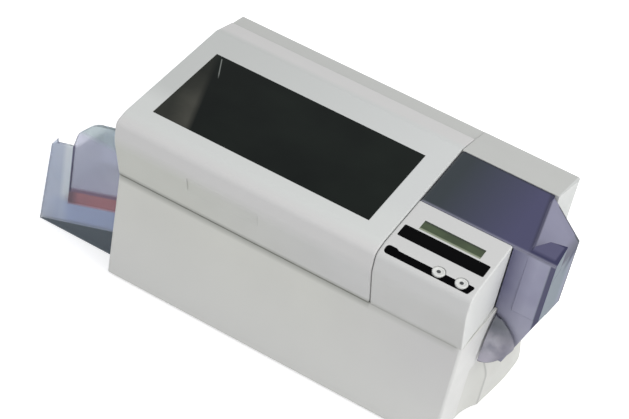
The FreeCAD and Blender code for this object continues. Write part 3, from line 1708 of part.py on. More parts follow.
def feed_tray():
    """Tray of the input cards: floor, side walls, stop wall with the card slot, and a low end wall."""
    inner = card_width / 2 + tray_play
    y0 = path_middle - inner
    y1 = path_middle + inner
    floor_top = card_path_height
    bottom = floor_top - tray_floor
    x0 = tray_stop - tray_stop_thickness
    x1 = tray_end + tray_wall
    top = floor_top + tray_wall_height
    plates = plate_spacing / 2 + plate_thickness
    floor = box(x0, x1, path_middle - plates, path_middle + plates, bottom, floor_top)
    rim = box(right_edge - shell_wall, x1 + cut_overrun, path_middle - plates - cut_overrun,
              y0 - tray_wall, bottom - cut_overrun, floor_top + cut_overrun)
    rim_back = box(right_edge - shell_wall, x1 + cut_overrun, y1 + tray_wall,
                   path_middle + plates + cut_overrun, bottom - cut_overrun, floor_top + cut_overrun)
    floor = floor.cut([rim, rim_back])
    walls = [
        box(x0, x1, y0 - tray_wall, y0, floor_top, top),
        box(x0, x1, y1, y1 + tray_wall, floor_top, top),
        box(x0, tray_stop, y0, y1, floor_top, top),
        box(tray_end, x1, y0, y1, floor_top, floor_top + tray_end_height),
    ]
    cheeks = []
    half = gate_width / 2
    for y in (path_middle - half - gate_clearance - gate_guide, path_middle + half + gate_clearance):
        cheeks.append(box(x0 - gate_thickness - gate_clearance, x0, y, y + gate_guide,
                          floor_top + 2 * gate_slot_height, top))
    tray = joined(floor, *(walls + cheeks))
    cuts = [
        box(x0 - cut_overrun, tray_stop, y0, y1, floor_top, floor_top + gate_slot_height),
        box(tray_end - cut_overrun, x1 + cut_overrun, path_middle - tray_finger_width / 2,
            path_middle + tray_finger_width / 2, bottom - cut_overrun, top),
        box(feed_x - feed_roller_radius, feed_x + feed_roller_radius,
            path_middle - feed_roller_length / 2 - 2 * side_play,
            path_middle + feed_roller_length / 2 + 2 * side_play, bottom, floor_top),
    ]
    slot = tray_stop + tray_slot_from_stop
    cuts.append(box(slot, slot + tray_slot_width, y0 - tray_wall - cut_overrun, y1 + tray_wall + cut_overrun,
                    input_pile_top - 2 * weight_height, top + cut_overrun))
    return tray.cut(cuts)


def input_cards():
    """Pile of blank cards in the tray, resting on its floor."""
    return box(tray_stop + tray_play, tray_stop + tray_play + card_length, path_middle - card_width / 2,
               path_middle + card_width / 2, card_path_height, input_pile_top)


def card_weight():
    """Weight that presses the pile on the feed roller, with tabs in the slots of the side walls."""
    slot = tray_stop + tray_slot_from_stop
    middle = slot + tray_slot_width / 2
    x0 = middle - weight_length / 2 + weight_offset
    z0 = input_pile_top
    half = card_width / 2 - tray_play
    block = box(x0, x0 + weight_length, path_middle - half, path_middle + half, z0, z0 + weight_height)
    edges = [e for e in block.Edges if e.BoundBox.ZMin > z0 + weight_height - running_clearance]
    block = block.makeChamfer(edge_radius, edges)
    reach = card_width / 2 + tray_play + tray_wall + side_play
    tabs = box(slot + tray_play, slot + tray_slot_width - tray_play, path_middle - reach,
               path_middle + reach, z0 + edge_radius, z0 + edge_radius + weight_tab)
    knob_x = x0 + weight_length / 2
    knob = rod_z(weight_knob_radius, z0 + weight_height, z0 + weight_height + weight_knob_height, knob_x,
                 path_middle)
    rim = [e for e in knob.Edges if e.BoundBox.ZMin > z0 + weight_height + weight_knob_height
           - running_clearance]
    return joined(block, tabs, knob.makeFillet(edge_radius, rim))


def thickness_gate():
    """Sliding gate that sets the height of the card slot, with a pull at its top."""
    x1 = tray_stop - tray_stop_thickness - gate_clearance / 2
    x0 = x1 - gate_thickness
    half = gate_width / 2
    z0 = card_path_height + gate_slot_height
    plate = box(x0, x1, path_middle - half, path_middle + half, z0, z0 + gate_height)
    pull = box(x0 - gate_handle, x0, path_middle - half / 3, path_middle + half / 3,
               z0 + gate_height - gate_thickness * 2, z0 + gate_height)
    return joined(plate, pull)


# Electronics

def main_board():
    """Control board on four standoffs in front of the print engine."""
    x0 = platen_x + board_left_offset
    y0 = base_front + chassis_margin + 2 * chassis_thickness + side_play
    z0 = chassis_top + board_standoff
    board = box(x0, x0 + board_length, y0, y0 + board_depth, z0, z0 + board_thickness)
    top = z0 + board_thickness
    parts = []
    for x in (x0 + 2 * post_radius, x0 + board_length - 2 * post_radius):
        for y in (y0 + 2 * post_radius, y0 + board_depth - 2 * post_radius):
            parts.append(rod_z(post_radius, chassis_top, z0, x, y))
    cell = board_depth / 4
    for i in range(board_chip_count):
        x = x0 + board_length * (board_chip_start_share + board_chip_pitch_share * i)
        parts.append(box(x, x + cell, y0 + cell, y0 + 2 * cell, top, top + board_thickness))
        parts.append(rod_z(cell / 4, top, top + cell, x + cell / 2, y0 + 3 * cell))
    parts.append(box(x0 + board_length * board_socket_start_share,
                     x0 + board_length * board_socket_end_share, y0 + cell / 6, y0 + cell / 2,
                     top, top + cell / 2))
    return joined(board, *parts)


def power_supply():
    """Boxed power supply with a slotted lid."""
    x0 = left_edge + chassis_margin + supply_offset
    y0 = base_front + chassis_margin + 2 * chassis_thickness + side_play
    case = box(x0, x0 + supply_length, y0, y0 + supply_depth, chassis_top, chassis_top + supply_height)
    cuts = []
    pitch = supply_length / (supply_vent_count + 1)
    for i in range(supply_vent_count):
        x = x0 + pitch * (i + 1)
        cuts.append(box(x - supply_vent_width / 2, x + supply_vent_width / 2, y0 + supply_depth / 5,
                        y0 + supply_depth * 4 / 5, chassis_top + supply_height - supply_vent_width,
                        chassis_top + supply_height))
    return case.cut(cuts)


def power_inlet():
    """Recessed mains socket with three blades, snapped into the rear wall."""
    x = left_edge + inlet_offset
    half = inlet_length / 2
    tall = inlet_height / 2
    z = inlet_level
    outer = box(x - half - inlet_wall, x + half + inlet_wall, rear_edge - inlet_depth - inlet_wall,
                rear_edge, z - tall - inlet_wall, z + tall + inlet_wall)
    cavity = box(x - half, x + half, rear_edge - inlet_depth, rear_edge, z - tall, z + tall)
    tower = box(x - half + inlet_pin_width, x + half - inlet_pin_width, rear_edge - inlet_depth,
                rear_edge - inlet_depth + inlet_pin_thickness, z - tall + inlet_pin_width,
                z + tall - inlet_pin_width)
    blades = []
    for dx, dz in ((-inlet_length / 4, -inlet_height / 8), (0, inlet_height / 8),
                   (inlet_length / 4, -inlet_height / 8)):
        blades.append(box(x + dx - inlet_pin_thickness / 2, x + dx + inlet_pin_thickness / 2,
                          rear_edge - inlet_depth, rear_edge - inlet_depth + inlet_pin_length,
                          z + dz - inlet_pin_width / 2, z + dz + inlet_pin_width / 2))
    socket = joined(outer.cut(cavity), tower, *blades)
    return group([socket, switch_bezel()])


def switch_bezel():
    """Frame of the rocker switch, with a round room for the rocker's drum."""
    x = left_edge + switch_offset
    half = switch_width / 2
    tall = switch_radius + switch_frame
    depth = 2 * switch_radius + switch_frame
    outer = box(x - half - switch_frame, x + half + switch_frame, rear_edge - depth, rear_edge,
                inlet_level - tall, inlet_level + tall)
    y = rear_edge - switch_radius - switch_gap
    room = rod_x(switch_radius + switch_gap, x - half, x + half, y, inlet_level)
    mouth = box(x - half, x + half, y, rear_edge + cut_overrun, inlet_level - switch_radius - switch_gap,
                inlet_level + switch_radius + switch_gap)
    return outer.cut([room, mouth, switch_axle(switch_frame / 2, running_clearance)])


def switch_axle(reach, extra):
    x = left_edge + switch_offset
    half = switch_width / 2
    return rod_x(switch_radius / 5 + extra, x - half - reach, x + half + reach,
                 rear_edge - switch_radius - switch_gap, inlet_level)


def power_rocker():
    """Rocker of the power switch: a round drum whose face is cut to a shallow V, off side in."""
    x = left_edge + switch_offset
    half = switch_width / 2 - switch_gap
    y = rear_edge - switch_radius - switch_gap
    drum = rod_x(switch_radius, x - half, x + half, y, inlet_level)
    face = y + switch_radius / 2
    for turn in (-2 * switch_face_angle, 0):
        angle = math.radians(turn)
        outward = Vector(0, math.cos(angle), math.sin(angle))
        drum = drum.cut(half_space(Vector(x, face, inlet_level), outward, 10 * switch_radius))
    return joined(drum, switch_axle(switch_frame / 2 - side_play, 0))


def data_ports():
    """Two socket shells in the rear wall: thin metal boxes open to the rear, on a small board."""
    shells = []
    for x in port_places():
        half = port_size / 2
        outer = box(x - half, x + half, rear_edge - port_depth, rear_edge, port_level - half,
                    port_level + half)
        hole = box(x - half + port_wall, x + half - port_wall, rear_edge - port_depth + port_wall,
                   rear_edge, port_level - half + port_wall, port_level + half - port_wall)
        tongue = box(x - half / 2, x + half / 2, rear_edge - port_depth, rear_edge - port_wall * 3,
                     port_level - port_wall / 2, port_level + port_wall / 2)
        shells.append(joined(outer.cut(hole), tongue))
    x0 = port_places()[0] - port_size
    x1 = port_places()[1] + port_size
    back = rear_edge - port_depth
    board = box(x0, x1, back - board_thickness, back, base_floor_top, port_level + port_size)
    return group([joined(shells[0], shells[1], board)])


def fan_frame():
    """Square fan frame against the grille, its motor held on four spokes."""
    x = left_edge + fan_offset
    half = fan_size / 2
    y0 = inner_rear - fan_depth
    frame = box(x - half, x + half, y0, inner_rear, fan_level - half, fan_level + half)
    frame = frame.cut(rod_y(fan_ring, y0, inner_rear, x, fan_level))
    spoke = fan_blade_thickness
    hub_depth = fan_depth - fan_blade_depth - 2 * shaft_end
    hub = rod_y(fan_hub_radius, y0, y0 + hub_depth, x, fan_level)
    cross = box(x - fan_ring - side_play, x + fan_ring + side_play, y0, y0 + hub_depth,
                fan_level - spoke, fan_level + spoke)
    upright = box(x - spoke, x + spoke, y0, y0 + hub_depth, fan_level - fan_ring - side_play,
                  fan_level + fan_ring + side_play)
    bore = rod_y(fan_axle_radius + running_clearance, y0, y0 + hub_depth, x, fan_level)
    return joined(frame, hub, cross, upright).cut(bore)


def fan_rotor():
    x = left_edge + fan_offset
    y1 = inner_rear - shaft_end
    y0 = y1 - fan_blade_depth
    hub = rod_y(fan_hub_radius, y0, y1, x, fan_level)
    axle = rod_y(fan_axle_radius, inner_rear - fan_depth, y0, x, fan_level)
    blades = []
    for i in range(fan_blade_count):
        blade = box(x + fan_hub_radius - fan_blade_thickness, x + fan_blade_radius,
                    y0, y1, fan_level - fan_blade_thickness / 2, fan_level + fan_blade_thickness / 2)
        middle = Vector(x + fan_hub_radius, (y0 + y1) / 2, fan_level)
        blade.rotate(middle, Vector(1, 0, 0), fan_blade_pitch_angle)
        blade.rotate(Vector(x, y0, fan_level), Vector(0, 1, 0), 360 * i / fan_blade_count)
        blades.append(blade)
    room = rod_y(fan_blade_radius, y0, y1, x, fan_level)
    wheel = joined(hub, *blades).common(room)
    return joined(wheel, axle)


def card_sensors():
    """Small light sensors beside the card path on the inside of the rear plate."""
    sensors = []
    for x in (exit_x + 2 * sensor_length, second_x + 2 * sensor_length, first_x - 2 * sensor_length,
              first_x + 2 * sensor_length):
        z1 = card_path_height - sensor_drop
        sensors.append(box(x - sensor_length / 2, x + sensor_length / 2, plate_rear_inner - sensor_depth,
                           plate_rear_inner, z1 - sensor_height, z1))
    return group(sensors)


# Every piece, by the name of its file

pieces = {
    "base_housing": base_with_foot_holes,
    "rubber_feet": rubber_feet,
    "feeder_plinth": feeder_plinth,
    "rear_cover": rear_cover,
    "case_screws": case_screws,
    "control_housing": control_housing,
    "panel_overlay": panel_overlay,
    "display_module": display_module,
    "display_lens": display_lens,
    "panel_board": panel_board,
    "left_button": lambda: button(button_left_x),
    "right_button": lambda: button(button_right_x),
    "top_lid": top_lid,
    "lid_window": lid_window,
    "hinge_pins": hinge_pins,
    "feeder_cover": feeder_cover,
    "output_hopper": output_hopper,
    "output_cards": output_cards,
    "feed_tray": feed_tray,
    "input_cards": input_cards,
    "card_weight": card_weight,
    "thickness_gate": thickness_gate,
    "feed_roller": feed_roller,
    "small_motors": small_motors,
    "cleaning_roller": cleaning_roller,
    "cleaning_cassette": cleaning_cassette,
    "cleaning_drive_roller": lambda: transport_roller(cleaning_x),
    "first_transport_roller": lambda: transport_roller(first_x),
    "first_pinch_roller": lambda: pinch_roller(first_x),
    "platen_roller": platen_roller,
    "platen_shaft": platen_shaft,
    "second_transport_roller": lambda: transport_roller(second_x),
    "second_pinch_roller": lambda: pinch_roller(second_x),
    "exit_roller": lambda: transport_roller(exit_x),
    "exit_pinch_roller": lambda: pinch_roller(exit_x),
    "chassis_plate": chassis_plate,
    "front_side_plate": front_side_plate,
    "rear_side_plate": rear_side_plate,
    "plate_spacers": plate_spacers,
    "card_sensors": card_sensors,
    "print_head": print_head,
    "head_carriage": head_carriage,
    "head_lever": head_lever,
    "supply_spool": lambda: joined(spool(supply_x), ribbon_roll(supply_x, supply_roll_radius)),
    "take_up_spool": lambda: joined(spool(take_up_x), ribbon_roll(take_up_x, take_up_roll_radius)),
    "ribbon_film": ribbon_film,
    "flipper_frame": flipper_frame,
    "flipper_roller": flipper_roller,
    "main_motor": main_motor,
    "motor_pinion": motor_pinion,
    "drive_gear": drive_gear,
    "timing_belt": timing_belt,
    "main_board": main_board,
    "power_supply": power_supply,
    "power_inlet": power_inlet,
    "power_rocker": power_rocker,
    "data_ports": data_ports,
    "fan_frame": fan_frame,
    "fan_rotor": fan_rotor,
}

os.makedirs("parts", exist_ok=True)
for name, make in pieces.items():
    shape = make()
    shape.exportStep("parts/" + name + ".step")
    print(name, len(shape.Solids), shape.isValid(), round(shape.Volume))
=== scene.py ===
import math

import bmesh
import bpy
import numpy as np
from mathutils import Matrix, Vector


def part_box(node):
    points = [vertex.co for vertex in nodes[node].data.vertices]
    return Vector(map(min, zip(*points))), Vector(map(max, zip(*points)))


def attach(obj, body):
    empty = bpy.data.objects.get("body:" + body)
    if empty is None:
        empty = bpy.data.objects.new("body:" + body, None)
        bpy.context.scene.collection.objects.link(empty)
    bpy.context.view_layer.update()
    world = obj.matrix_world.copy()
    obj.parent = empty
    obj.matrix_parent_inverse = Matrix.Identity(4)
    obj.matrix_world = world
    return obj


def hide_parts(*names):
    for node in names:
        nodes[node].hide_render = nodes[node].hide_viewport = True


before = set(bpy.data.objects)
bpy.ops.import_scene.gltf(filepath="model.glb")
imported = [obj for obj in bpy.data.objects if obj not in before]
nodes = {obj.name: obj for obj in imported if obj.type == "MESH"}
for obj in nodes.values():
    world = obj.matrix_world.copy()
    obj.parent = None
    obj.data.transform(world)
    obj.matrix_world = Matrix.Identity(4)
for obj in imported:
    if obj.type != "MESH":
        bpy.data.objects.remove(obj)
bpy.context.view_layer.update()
mm = 0.001


# Camera. It stands high at the right front of the printer, looks down on its top and is
# rolled, so that the printer lies aslant in the picture.
camera_place = Vector((0.6142, -1.5466, 1.6158))
camera_right = Vector((0.8588, 0.4876, 0.1578)).normalized()
camera_back = camera_right.cross(Vector((-0.4339, 0.5283, 0.7298))).normalized()
camera_up = camera_back.cross(camera_right)
lens_data = bpy.data.cameras.new("camera")
lens_data.lens = 108.5
lens_data.clip_end = 50.0
camera = bpy.data.objects.new("camera", lens_data)
bpy.context.scene.collection.objects.link(camera)
turn = Matrix((camera_right, camera_up, camera_back)).transposed()
camera.matrix_world = Matrix.Translation(camera_place) @ turn.to_4x4()
bpy.context.scene.camera = camera
bpy.context.scene.view_settings.view_transform = "Standard"


# Studio. A pale floor, a white surround and soft lamps. What the camera, metal and clear
# plastic see of the floor and the surround is white, with the printer's soft shadow on it.
def bare_rays(parts, wires):
    """One for a ray from the camera, off metal or through clear plastic, else nought."""
    seen = parts.new("ShaderNodeLightPath")
    share = seen.outputs["Is Camera Ray"]
    for kind in ("Is Glossy Ray", "Is Transmission Ray"):
        either = parts.new("ShaderNodeMath")
        either.operation = "MAXIMUM"
        wires.new(share, either.inputs[0])
        wires.new(seen.outputs[kind], either.inputs[1])
        share = either.outputs[0]
    return share


world = bpy.data.worlds.new("surround")
world.use_nodes = True
bpy.context.scene.world = world
sky, sky_wires = world.node_tree.nodes, world.node_tree.links
sky.clear()
white = sky.new("ShaderNodeBackground")
white.inputs["Strength"].default_value = 1.0
glow = sky.new("ShaderNodeBackground")
glow.inputs["Color"].default_value = (0.975, 0.985, 1.0, 1.0)
glow.inputs["Strength"].default_value = 0.66
choice = sky.new("ShaderNodeMixShader")
sky_wires.new(bare_rays(sky, sky_wires), choice.inputs[0])
sky_wires.new(glow.outputs[0], choice.inputs[1])
sky_wires.new(white.outputs[0], choice.inputs[2])
sky_wires.new(choice.outputs[0], sky.new("ShaderNodeOutputWorld").inputs[0])


def lamp(name, place, size, power, tint):
    """Square soft lamp at a place, turned to the printer."""
    data = bpy.data.lights.new(name, "AREA")
    data.size = size
    data.energy = power
    data.color = tint
    made = bpy.data.objects.new(name, data)
    bpy.context.scene.collection.objects.link(made)
    made.location = place
    made.rotation_euler = (-Vector(place)).to_track_quat("-Z", "Y").to_euler()


lamp("key_lamp", (1.5, 0.0, 2.0), 1.6, 20.0, (1.0, 0.99, 0.975))
lamp("fill_lamp", (0.0, -2.3, 1.7), 1.8, 10.0, (0.97, 0.98, 1.0))
lamp("end_lamp", (2.2, -0.5, 0.9), 1.2, 7.0, (1.0, 0.995, 0.985))

floor_reach = 6.0
floor_mesh = bpy.data.meshes.new("floor")
sides = np.array([(-1, -1, 0), (1, -1, 0), (1, 1, 0), (-1, 1, 0)]) * floor_reach
floor_mesh.from_pydata(sides.tolist(), [], [(0, 1, 2, 3)])
floor = bpy.data.objects.new("floor", floor_mesh)
bpy.context.scene.collection.objects.link(floor)
paper = bpy.data.materials.new("floor_paper")
paper.use_nodes = True
parts, wires = paper.node_tree.nodes, paper.node_tree.links
matt = parts["Principled BSDF"]
matt.inputs["Base Color"].default_value = (0.80, 0.80, 0.80, 1.0)
matt.inputs["Roughness"].default_value = 0.9
matt.inputs["Specular IOR Level"].default_value = 0.1
lift = parts.new("ShaderNodeMath")
lift.operation = "MULTIPLY"
lift.inputs[1].default_value = 0.56
wires.new(bare_rays(parts, wires), lift.inputs[0])
wires.new(lift.outputs[0], matt.inputs["Emission Strength"])
matt.inputs["Emission Color"].default_value = (1.0, 1.0, 1.0, 1.0)
floor_mesh.materials.append(paper)


# Casing: base, rear cover, control housing and lid. Light grey mouldings of a satin
# plastic with a fine spark-eroded grain, closed by a seam all round below the lid.
def screen(red, green, blue):
    """Linear colour of a screen colour given from 0 to 255."""
    level = np.array([red, green, blue]) / 255.0
    linear = np.where(level <= 0.04045, level / 12.92, ((level + 0.055) / 1.055) ** 2.4)
    return (*linear.tolist(), 1.0)


def noise(tree, place, scale, detail):
    """Noise over the piece, with so many patches to the metre."""
    made = tree.nodes.new("ShaderNodeTexNoise")
    made.inputs["Scale"].default_value = scale
    made.inputs["Detail"].default_value = detail
    tree.links.new(place, made.inputs["Vector"])
    return made.outputs["Fac"]


def spread(tree, source, low, high, to_low=0.0, to_high=1.0):
    """Values from low to high moved to the range from to_low to to_high, and none beyond it."""
    made = tree.nodes.new("ShaderNodeMapRange")
    made.inputs["From Min"].default_value = low
    made.inputs["From Max"].default_value = high
    made.inputs["To Min"].default_value = to_low
    made.inputs["To Max"].default_value = to_high
    tree.links.new(source, made.inputs["Value"])
    return made.outputs["Result"]


def mixed(tree, share, first, second):
    """Colour that goes from first to second with the share; each is a colour or a socket."""
    made = tree.nodes.new("ShaderNodeMix")
    made.data_type = "RGBA"
    tree.links.new(share, made.inputs[0])
    for socket, value in ((made.inputs[6], first), (made.inputs[7], second)):
        if isinstance(value, tuple):
            socket.default_value = value
        else:
            tree.links.new(value, socket)
    return made.outputs[2]


def places(tree):
    """Object coordinates of the piece, and the three of them apart."""
    place = tree.nodes.new("ShaderNodeTexCoord").outputs["Object"]
    apart = tree.nodes.new("ShaderNodeSeparateXYZ")
    tree.links.new(place, apart.inputs[0])
    return place, apart.outputs


def along(tree, place, direction):
    """How far each place lies along a direction: their scalar product."""
    made = tree.nodes.new("ShaderNodeVectorMath")
    made.operation = "DOT_PRODUCT"
    made.inputs[1].default_value = direction
    tree.links.new(place, made.inputs[0])
    return made.outputs["Value"]


def product(tree, *shares):
    """All shares multiplied together."""
    made = shares[0]
    for share in shares[1:]:
        both = tree.nodes.new("ShaderNodeMath")
        both.operation = "MULTIPLY"
        tree.links.new(made, both.inputs[0])
        tree.links.new(share, both.inputs[1])
        made = both.outputs[0]
    return made


def soft_edges(tree, edge):
    """Normal rounded over edge mm at sharp corners, and how far it turns there, 0 to 1."""
    round_off = tree.nodes.new("ShaderNodeBevel")
    round_off.samples = 4
    round_off.inputs["Radius"].default_value = edge * mm
    flat = tree.nodes.new("ShaderNodeNewGeometry")
    agree = tree.nodes.new("ShaderNodeVectorMath")
    agree.operation = "DOT_PRODUCT"
    tree.links.new(round_off.outputs[0], agree.inputs[0])
    tree.links.new(flat.outputs["Normal"], agree.inputs[1])
    return round_off.outputs[0], spread(tree, agree.outputs["Value"], 0.8, 0.98, 1.0, 0.0)


def surface(name, colour, drift, patches, grain, height, rough, metal=0.0, edge=0.5, gloss=0.5,
            edge_wear_and_light=1.3):
    """Material whose colour drifts between two tones in patches or is painted by a function, with
    a grain of so many bumps to the metre and a height in mm. Its edges are rounded to edge mm and
    tinted to a given factor times the drift tone: paler edges stand partly for wear and partly for
    painted highlights, darker ones for painted shade along the edges."""
    made = bpy.data.materials.new(name)
    made.use_nodes = True
    tree = made.node_tree
    shader = tree.nodes["Principled BSDF"]
    place, axes = places(tree)
    if isinstance(colour, tuple):
        cloud = noise(tree, place, patches, 4.0)
        tone = mixed(tree, spread(tree, cloud, 0.3, 0.7), colour, drift)
    else:
        tone = colour(tree, place, axes)
    normal, turned_away = soft_edges(tree, edge)
    # Edges go paler than the drift tone above one and darker below it: partly wear, partly painted
    # highlight and shade along the edges.
    paler = tuple(min(1.0, c * edge_wear_and_light + 0.02) for c in drift[:3]) + (1.0,)
    edge_wear_and_light_share = spread(tree, turned_away, 0.0, 1.0, 0.0, 0.35)
    tree.links.new(mixed(tree, edge_wear_and_light_share, tone, paler), shader.inputs["Base Color"])
    fine = noise(tree, place, grain, 2.0)
    bump = tree.nodes.new("ShaderNodeBump")
    bump.inputs["Distance"].default_value = height * mm
    bump.inputs["Strength"].default_value = 0.5
    tree.links.new(fine, bump.inputs["Height"])
    tree.links.new(normal, bump.inputs["Normal"])
    tree.links.new(bump.outputs[0], shader.inputs["Normal"])
    wiped = noise(tree, place, patches * 6.0, 3.0)
    tree.links.new(spread(tree, wiped, 0.3, 0.7, rough * 0.85, min(1.0, rough * 1.15)),
                   shader.inputs["Roughness"])
    shader.inputs["Metallic"].default_value = metal
    shader.inputs["Specular IOR Level"].default_value = gloss
    return made


def dress(material, *names):
    """Gives CAD nodes a material in all their slots."""
    for name in names:
        slots = nodes[name].data.materials
        slots.clear()
        slots.append(material)


seam_level = 0.1624
seam_shade = screen(156, 157, 151)
shade_below = (-11.0 * mm, -0.8 * mm)
shade_above = (0.4 * mm, 6.5 * mm)
lid_end = (0.141, 0.143)
right_corner = (0.248, 0.254)
level_top = (0.2545, 0.2572)
level_across = (-0.15, 0.12)
level_front = (-0.088, -0.055)


def shell_tone(left, right, across, brow, level=None, end=None):
    """Grey of a moulding, drifting between the two tones of a pair and going from the left pair to
    the right one between two places across. It goes to the tone of the brow between two heights:
    painted light and shade that change with the height. Painted soft shade lies along the seam,
    fainter under the control housing and gone at the right end. The level top may fade between
    tones for its front, left and right, painted as the light falls on the top, and the end wall
    beyond a place may take a paler tone, painted light on the end."""
    def tone(tree, place, axes):
        cloud = spread(tree, noise(tree, place, 7.0, 4.0), 0.3, 0.7)
        to_right = spread(tree, axes[0], *across)
        grey = mixed(tree, to_right, mixed(tree, cloud, *left), mixed(tree, cloud, *right))
        # The brow tone is painted light and shade that change with the height.
        bright, start, full = brow
        grey = mixed(tree, spread(tree, axes[2], start, full), grey, bright)
        # Painted soft shade along the seam, fainter under the control housing and gone at the
        # right end.
        below = spread(tree, axes[2], *(seam_level + reach for reach in shade_below))
        above = spread(tree, axes[2], *(seam_level + reach for reach in shade_above), 1.0, 0.0)
        fainter = spread(tree, axes[0], *lid_end, 0.95, 0.45)
        inward = spread(tree, axes[0], *right_corner, 1.0, 0.0)
        # Painted light on the level top: lighter and darker towards its front, left and right.
        if level:
            front_tone, left_tone, right_tone = level
            top = mixed(tree, spread(tree, axes[0], *level_across), left_tone, right_tone)
            top = mixed(tree, spread(tree, axes[1], *level_front), front_tone, top)
            grey = mixed(tree, spread(tree, axes[2], *level_top), grey, top)
        # Painted light: the end wall beyond a place takes a paler tone.
        if end:
            beyond, pale = end
            grey = mixed(tree, spread(tree, axes[0], beyond, beyond + 1 * mm), grey, pale)
        return mixed(tree, product(tree, below, above, fainter, inward), grey, seam_shade)
    return tone


# The brow, level and end tones below are painted light: the upper front of the lid and the control
# housing lighter, the base darker up towards the lid as painted shade under it, the lid's top
# lighter at the front and darker at the left, and the end walls paler.
brow_heights = (0.214, 0.234)
foot_heights = (0.130, 0.020)
right_third = (0.08, 0.22)
casing_tone = shell_tone((screen(211, 211, 205), screen(205, 205, 200)),
                         (screen(205, 204, 203), screen(200, 199, 198)), right_third,
                         (screen(212, 212, 209), *foot_heights),
                         end=(0.2540, screen(212, 212, 210)))
lid_tone = shell_tone((screen(199, 200, 193), screen(194, 195, 188)),
                      (screen(199, 199, 198), screen(194, 194, 193)), (-0.10, 0.10),
                      (screen(206, 205, 204), *brow_heights),
                      level=(screen(207, 209, 207), screen(193, 195, 193), screen(204, 206, 205)))
rear_pair = (screen(194, 195, 192), screen(188, 189, 186))
rear_tone = shell_tone(rear_pair, rear_pair, right_third, (screen(191, 192, 189), *brow_heights),
                       end=(0.2640, screen(208, 210, 208)))
control_pair = (screen(198, 198, 196), screen(193, 193, 191))
control_tone = shell_tone(control_pair, control_pair, right_third,
                          (screen(202, 202, 201), *brow_heights),
                          end=(0.2560, screen(216, 217, 215)))
casing_grey = surface("casing_grey", casing_tone, screen(208, 208, 202), 7.0, 2600.0, 0.05, 0.46,
                      gloss=0.3, edge=1.4, edge_wear_and_light=1.1)
lid_grey = surface("lid_grey", lid_tone, screen(200, 202, 199), 6.0, 2600.0, 0.05, 0.42,
                   gloss=0.3, edge=1.4, edge_wear_and_light=1.15)
rear_grey = surface("rear_grey", rear_tone, screen(190, 192, 189), 6.0, 2600.0, 0.05, 0.46,
                    gloss=0.3, edge=1.4, edge_wear_and_light=1.15)
control_grey = surface("control_grey", control_tone, screen(196, 198, 195), 6.0, 2600.0, 0.05,
                       0.42, gloss=0.3, edge=1.4, edge_wear_and_light=1.15)
dress(casing_grey, "base_housing")
dress(rear_grey, "rear_cover")
dress(lid_grey, "top_lid")
dress(control_grey, "control_housing")


# Seam: a strip of dark grey foam round the top of the base, put there as painted shade for the gap
# below the lid and the control housing, where it shows as a fine dark line. It is left out where
# the feed tray comes through and over the two slots for the hooks of the bin.
seam_low = 160.9
seam_high = 162.75
seam_proud = 0.3
seam_sunk = 0.5
casing_left = -190.5
casing_right = 257.5
casing_flare = 11.0
casing_front = -120.5
casing_rear = 140.5
tray_gap_front = -41.0
tray_gap_back = 44.0
slot_front, slot_front_end = -80.8, -66.2
slot_back, slot_back_end = 15.2, 29.8


def rounded(corners, reach, steps, closed=True):
    """Line through corners, each one rounded by an arc: with a and b at reach on the two sides
    of a corner c and w the sine of half its angle, the points for t from 0 to 1 are
    ((1-t)(1-t)a + 2t(1-t)wc + t*t*b) / ((1-t)(1-t) + 2t(1-t)w + t*t)."""
    corner = np.array(corners, float)
    reach = np.broadcast_to(reach, len(corner))[:, None]
    sides = []
    for neighbour in (np.roll(corner, 1, 0), np.roll(corner, -1, 0)):
        away = neighbour - corner
        sides.append(away / np.linalg.norm(away, axis=1)[:, None])
    a, b = (corner + side * reach for side in sides)
    w = np.sqrt((1 - (sides[0] * sides[1]).sum(1)) / 2)[:, None, None]
    t = np.linspace(0.0, 1.0, steps)[None, :, None]
    near, middle, far = (1 - t) ** 2, 2 * t * (1 - t) * w, t ** 2
    line = near * a[:, None] + middle * corner[:, None] + far * b[:, None]
    line = line / (near + middle + far)
    if closed:
        return line.reshape(-1, corner.shape[1])
    return np.concatenate([corner[:1], line[1:-1].reshape(-1, corner.shape[1]), corner[-1:]])


def skin(grid, along=False):
    """Faces over a grid of points: each cell between neighbouring rows and columns is one
    quad. Columns join round, and rows do too when along is true."""
    rows, columns = grid.shape[:2]
    row = np.arange(rows if along else rows - 1)[:, None]
    column = np.arange(columns)[None, :]
    ahead = (row + 1) % rows
    beside = (column + 1) % columns
    corners = np.broadcast_arrays(row * columns + column, row * columns + beside,
                                  ahead * columns + beside, ahead * columns + column)
    return grid.reshape(-1, 3), np.stack(corners, -1).reshape(-1, 4)


def capped(rings):
    """Closed skin over rings of points, with each end drawn together to its middle."""
    first = np.broadcast_to(rings[:1].mean(1, keepdims=True), rings[:1].shape)
    last = np.broadcast_to(rings[-1:].mean(1, keepdims=True), rings[-1:].shape)
    return skin(np.concatenate([first, rings, last]))


def moulded(name, skins, *materials):
    """Piece out of (points, faces) skins in mm, each with the number of its material or one
    number for each face; doubled points are merged and the faces turned outwards."""
    points = np.concatenate([s[0] for s in skins]) * mm
    starts = np.cumsum([0] + [len(s[0]) for s in skins[:-1]])
    faces = np.concatenate([s[1] + start for s, start in zip(skins, starts)])
    finish = np.concatenate([np.broadcast_to(s[2], len(s[1])) for s in skins])
    mesh = bpy.data.meshes.new(name)
    mesh.from_pydata(points.tolist(), [], faces.tolist())
    mesh.polygons.foreach_set("material_index", finish.astype(np.int32))
    work = bmesh.new()
    work.from_mesh(mesh)
    bmesh.ops.remove_doubles(work, verts=work.verts, dist=0.001 * mm)
    bmesh.ops.recalc_face_normals(work, faces=work.faces)
    work.to_mesh(mesh)
    work.free()
    for material in materials:
        mesh.materials.append(material)
    made = bpy.data.objects.new(name, mesh)
    bpy.context.scene.collection.objects.link(made)
    return made


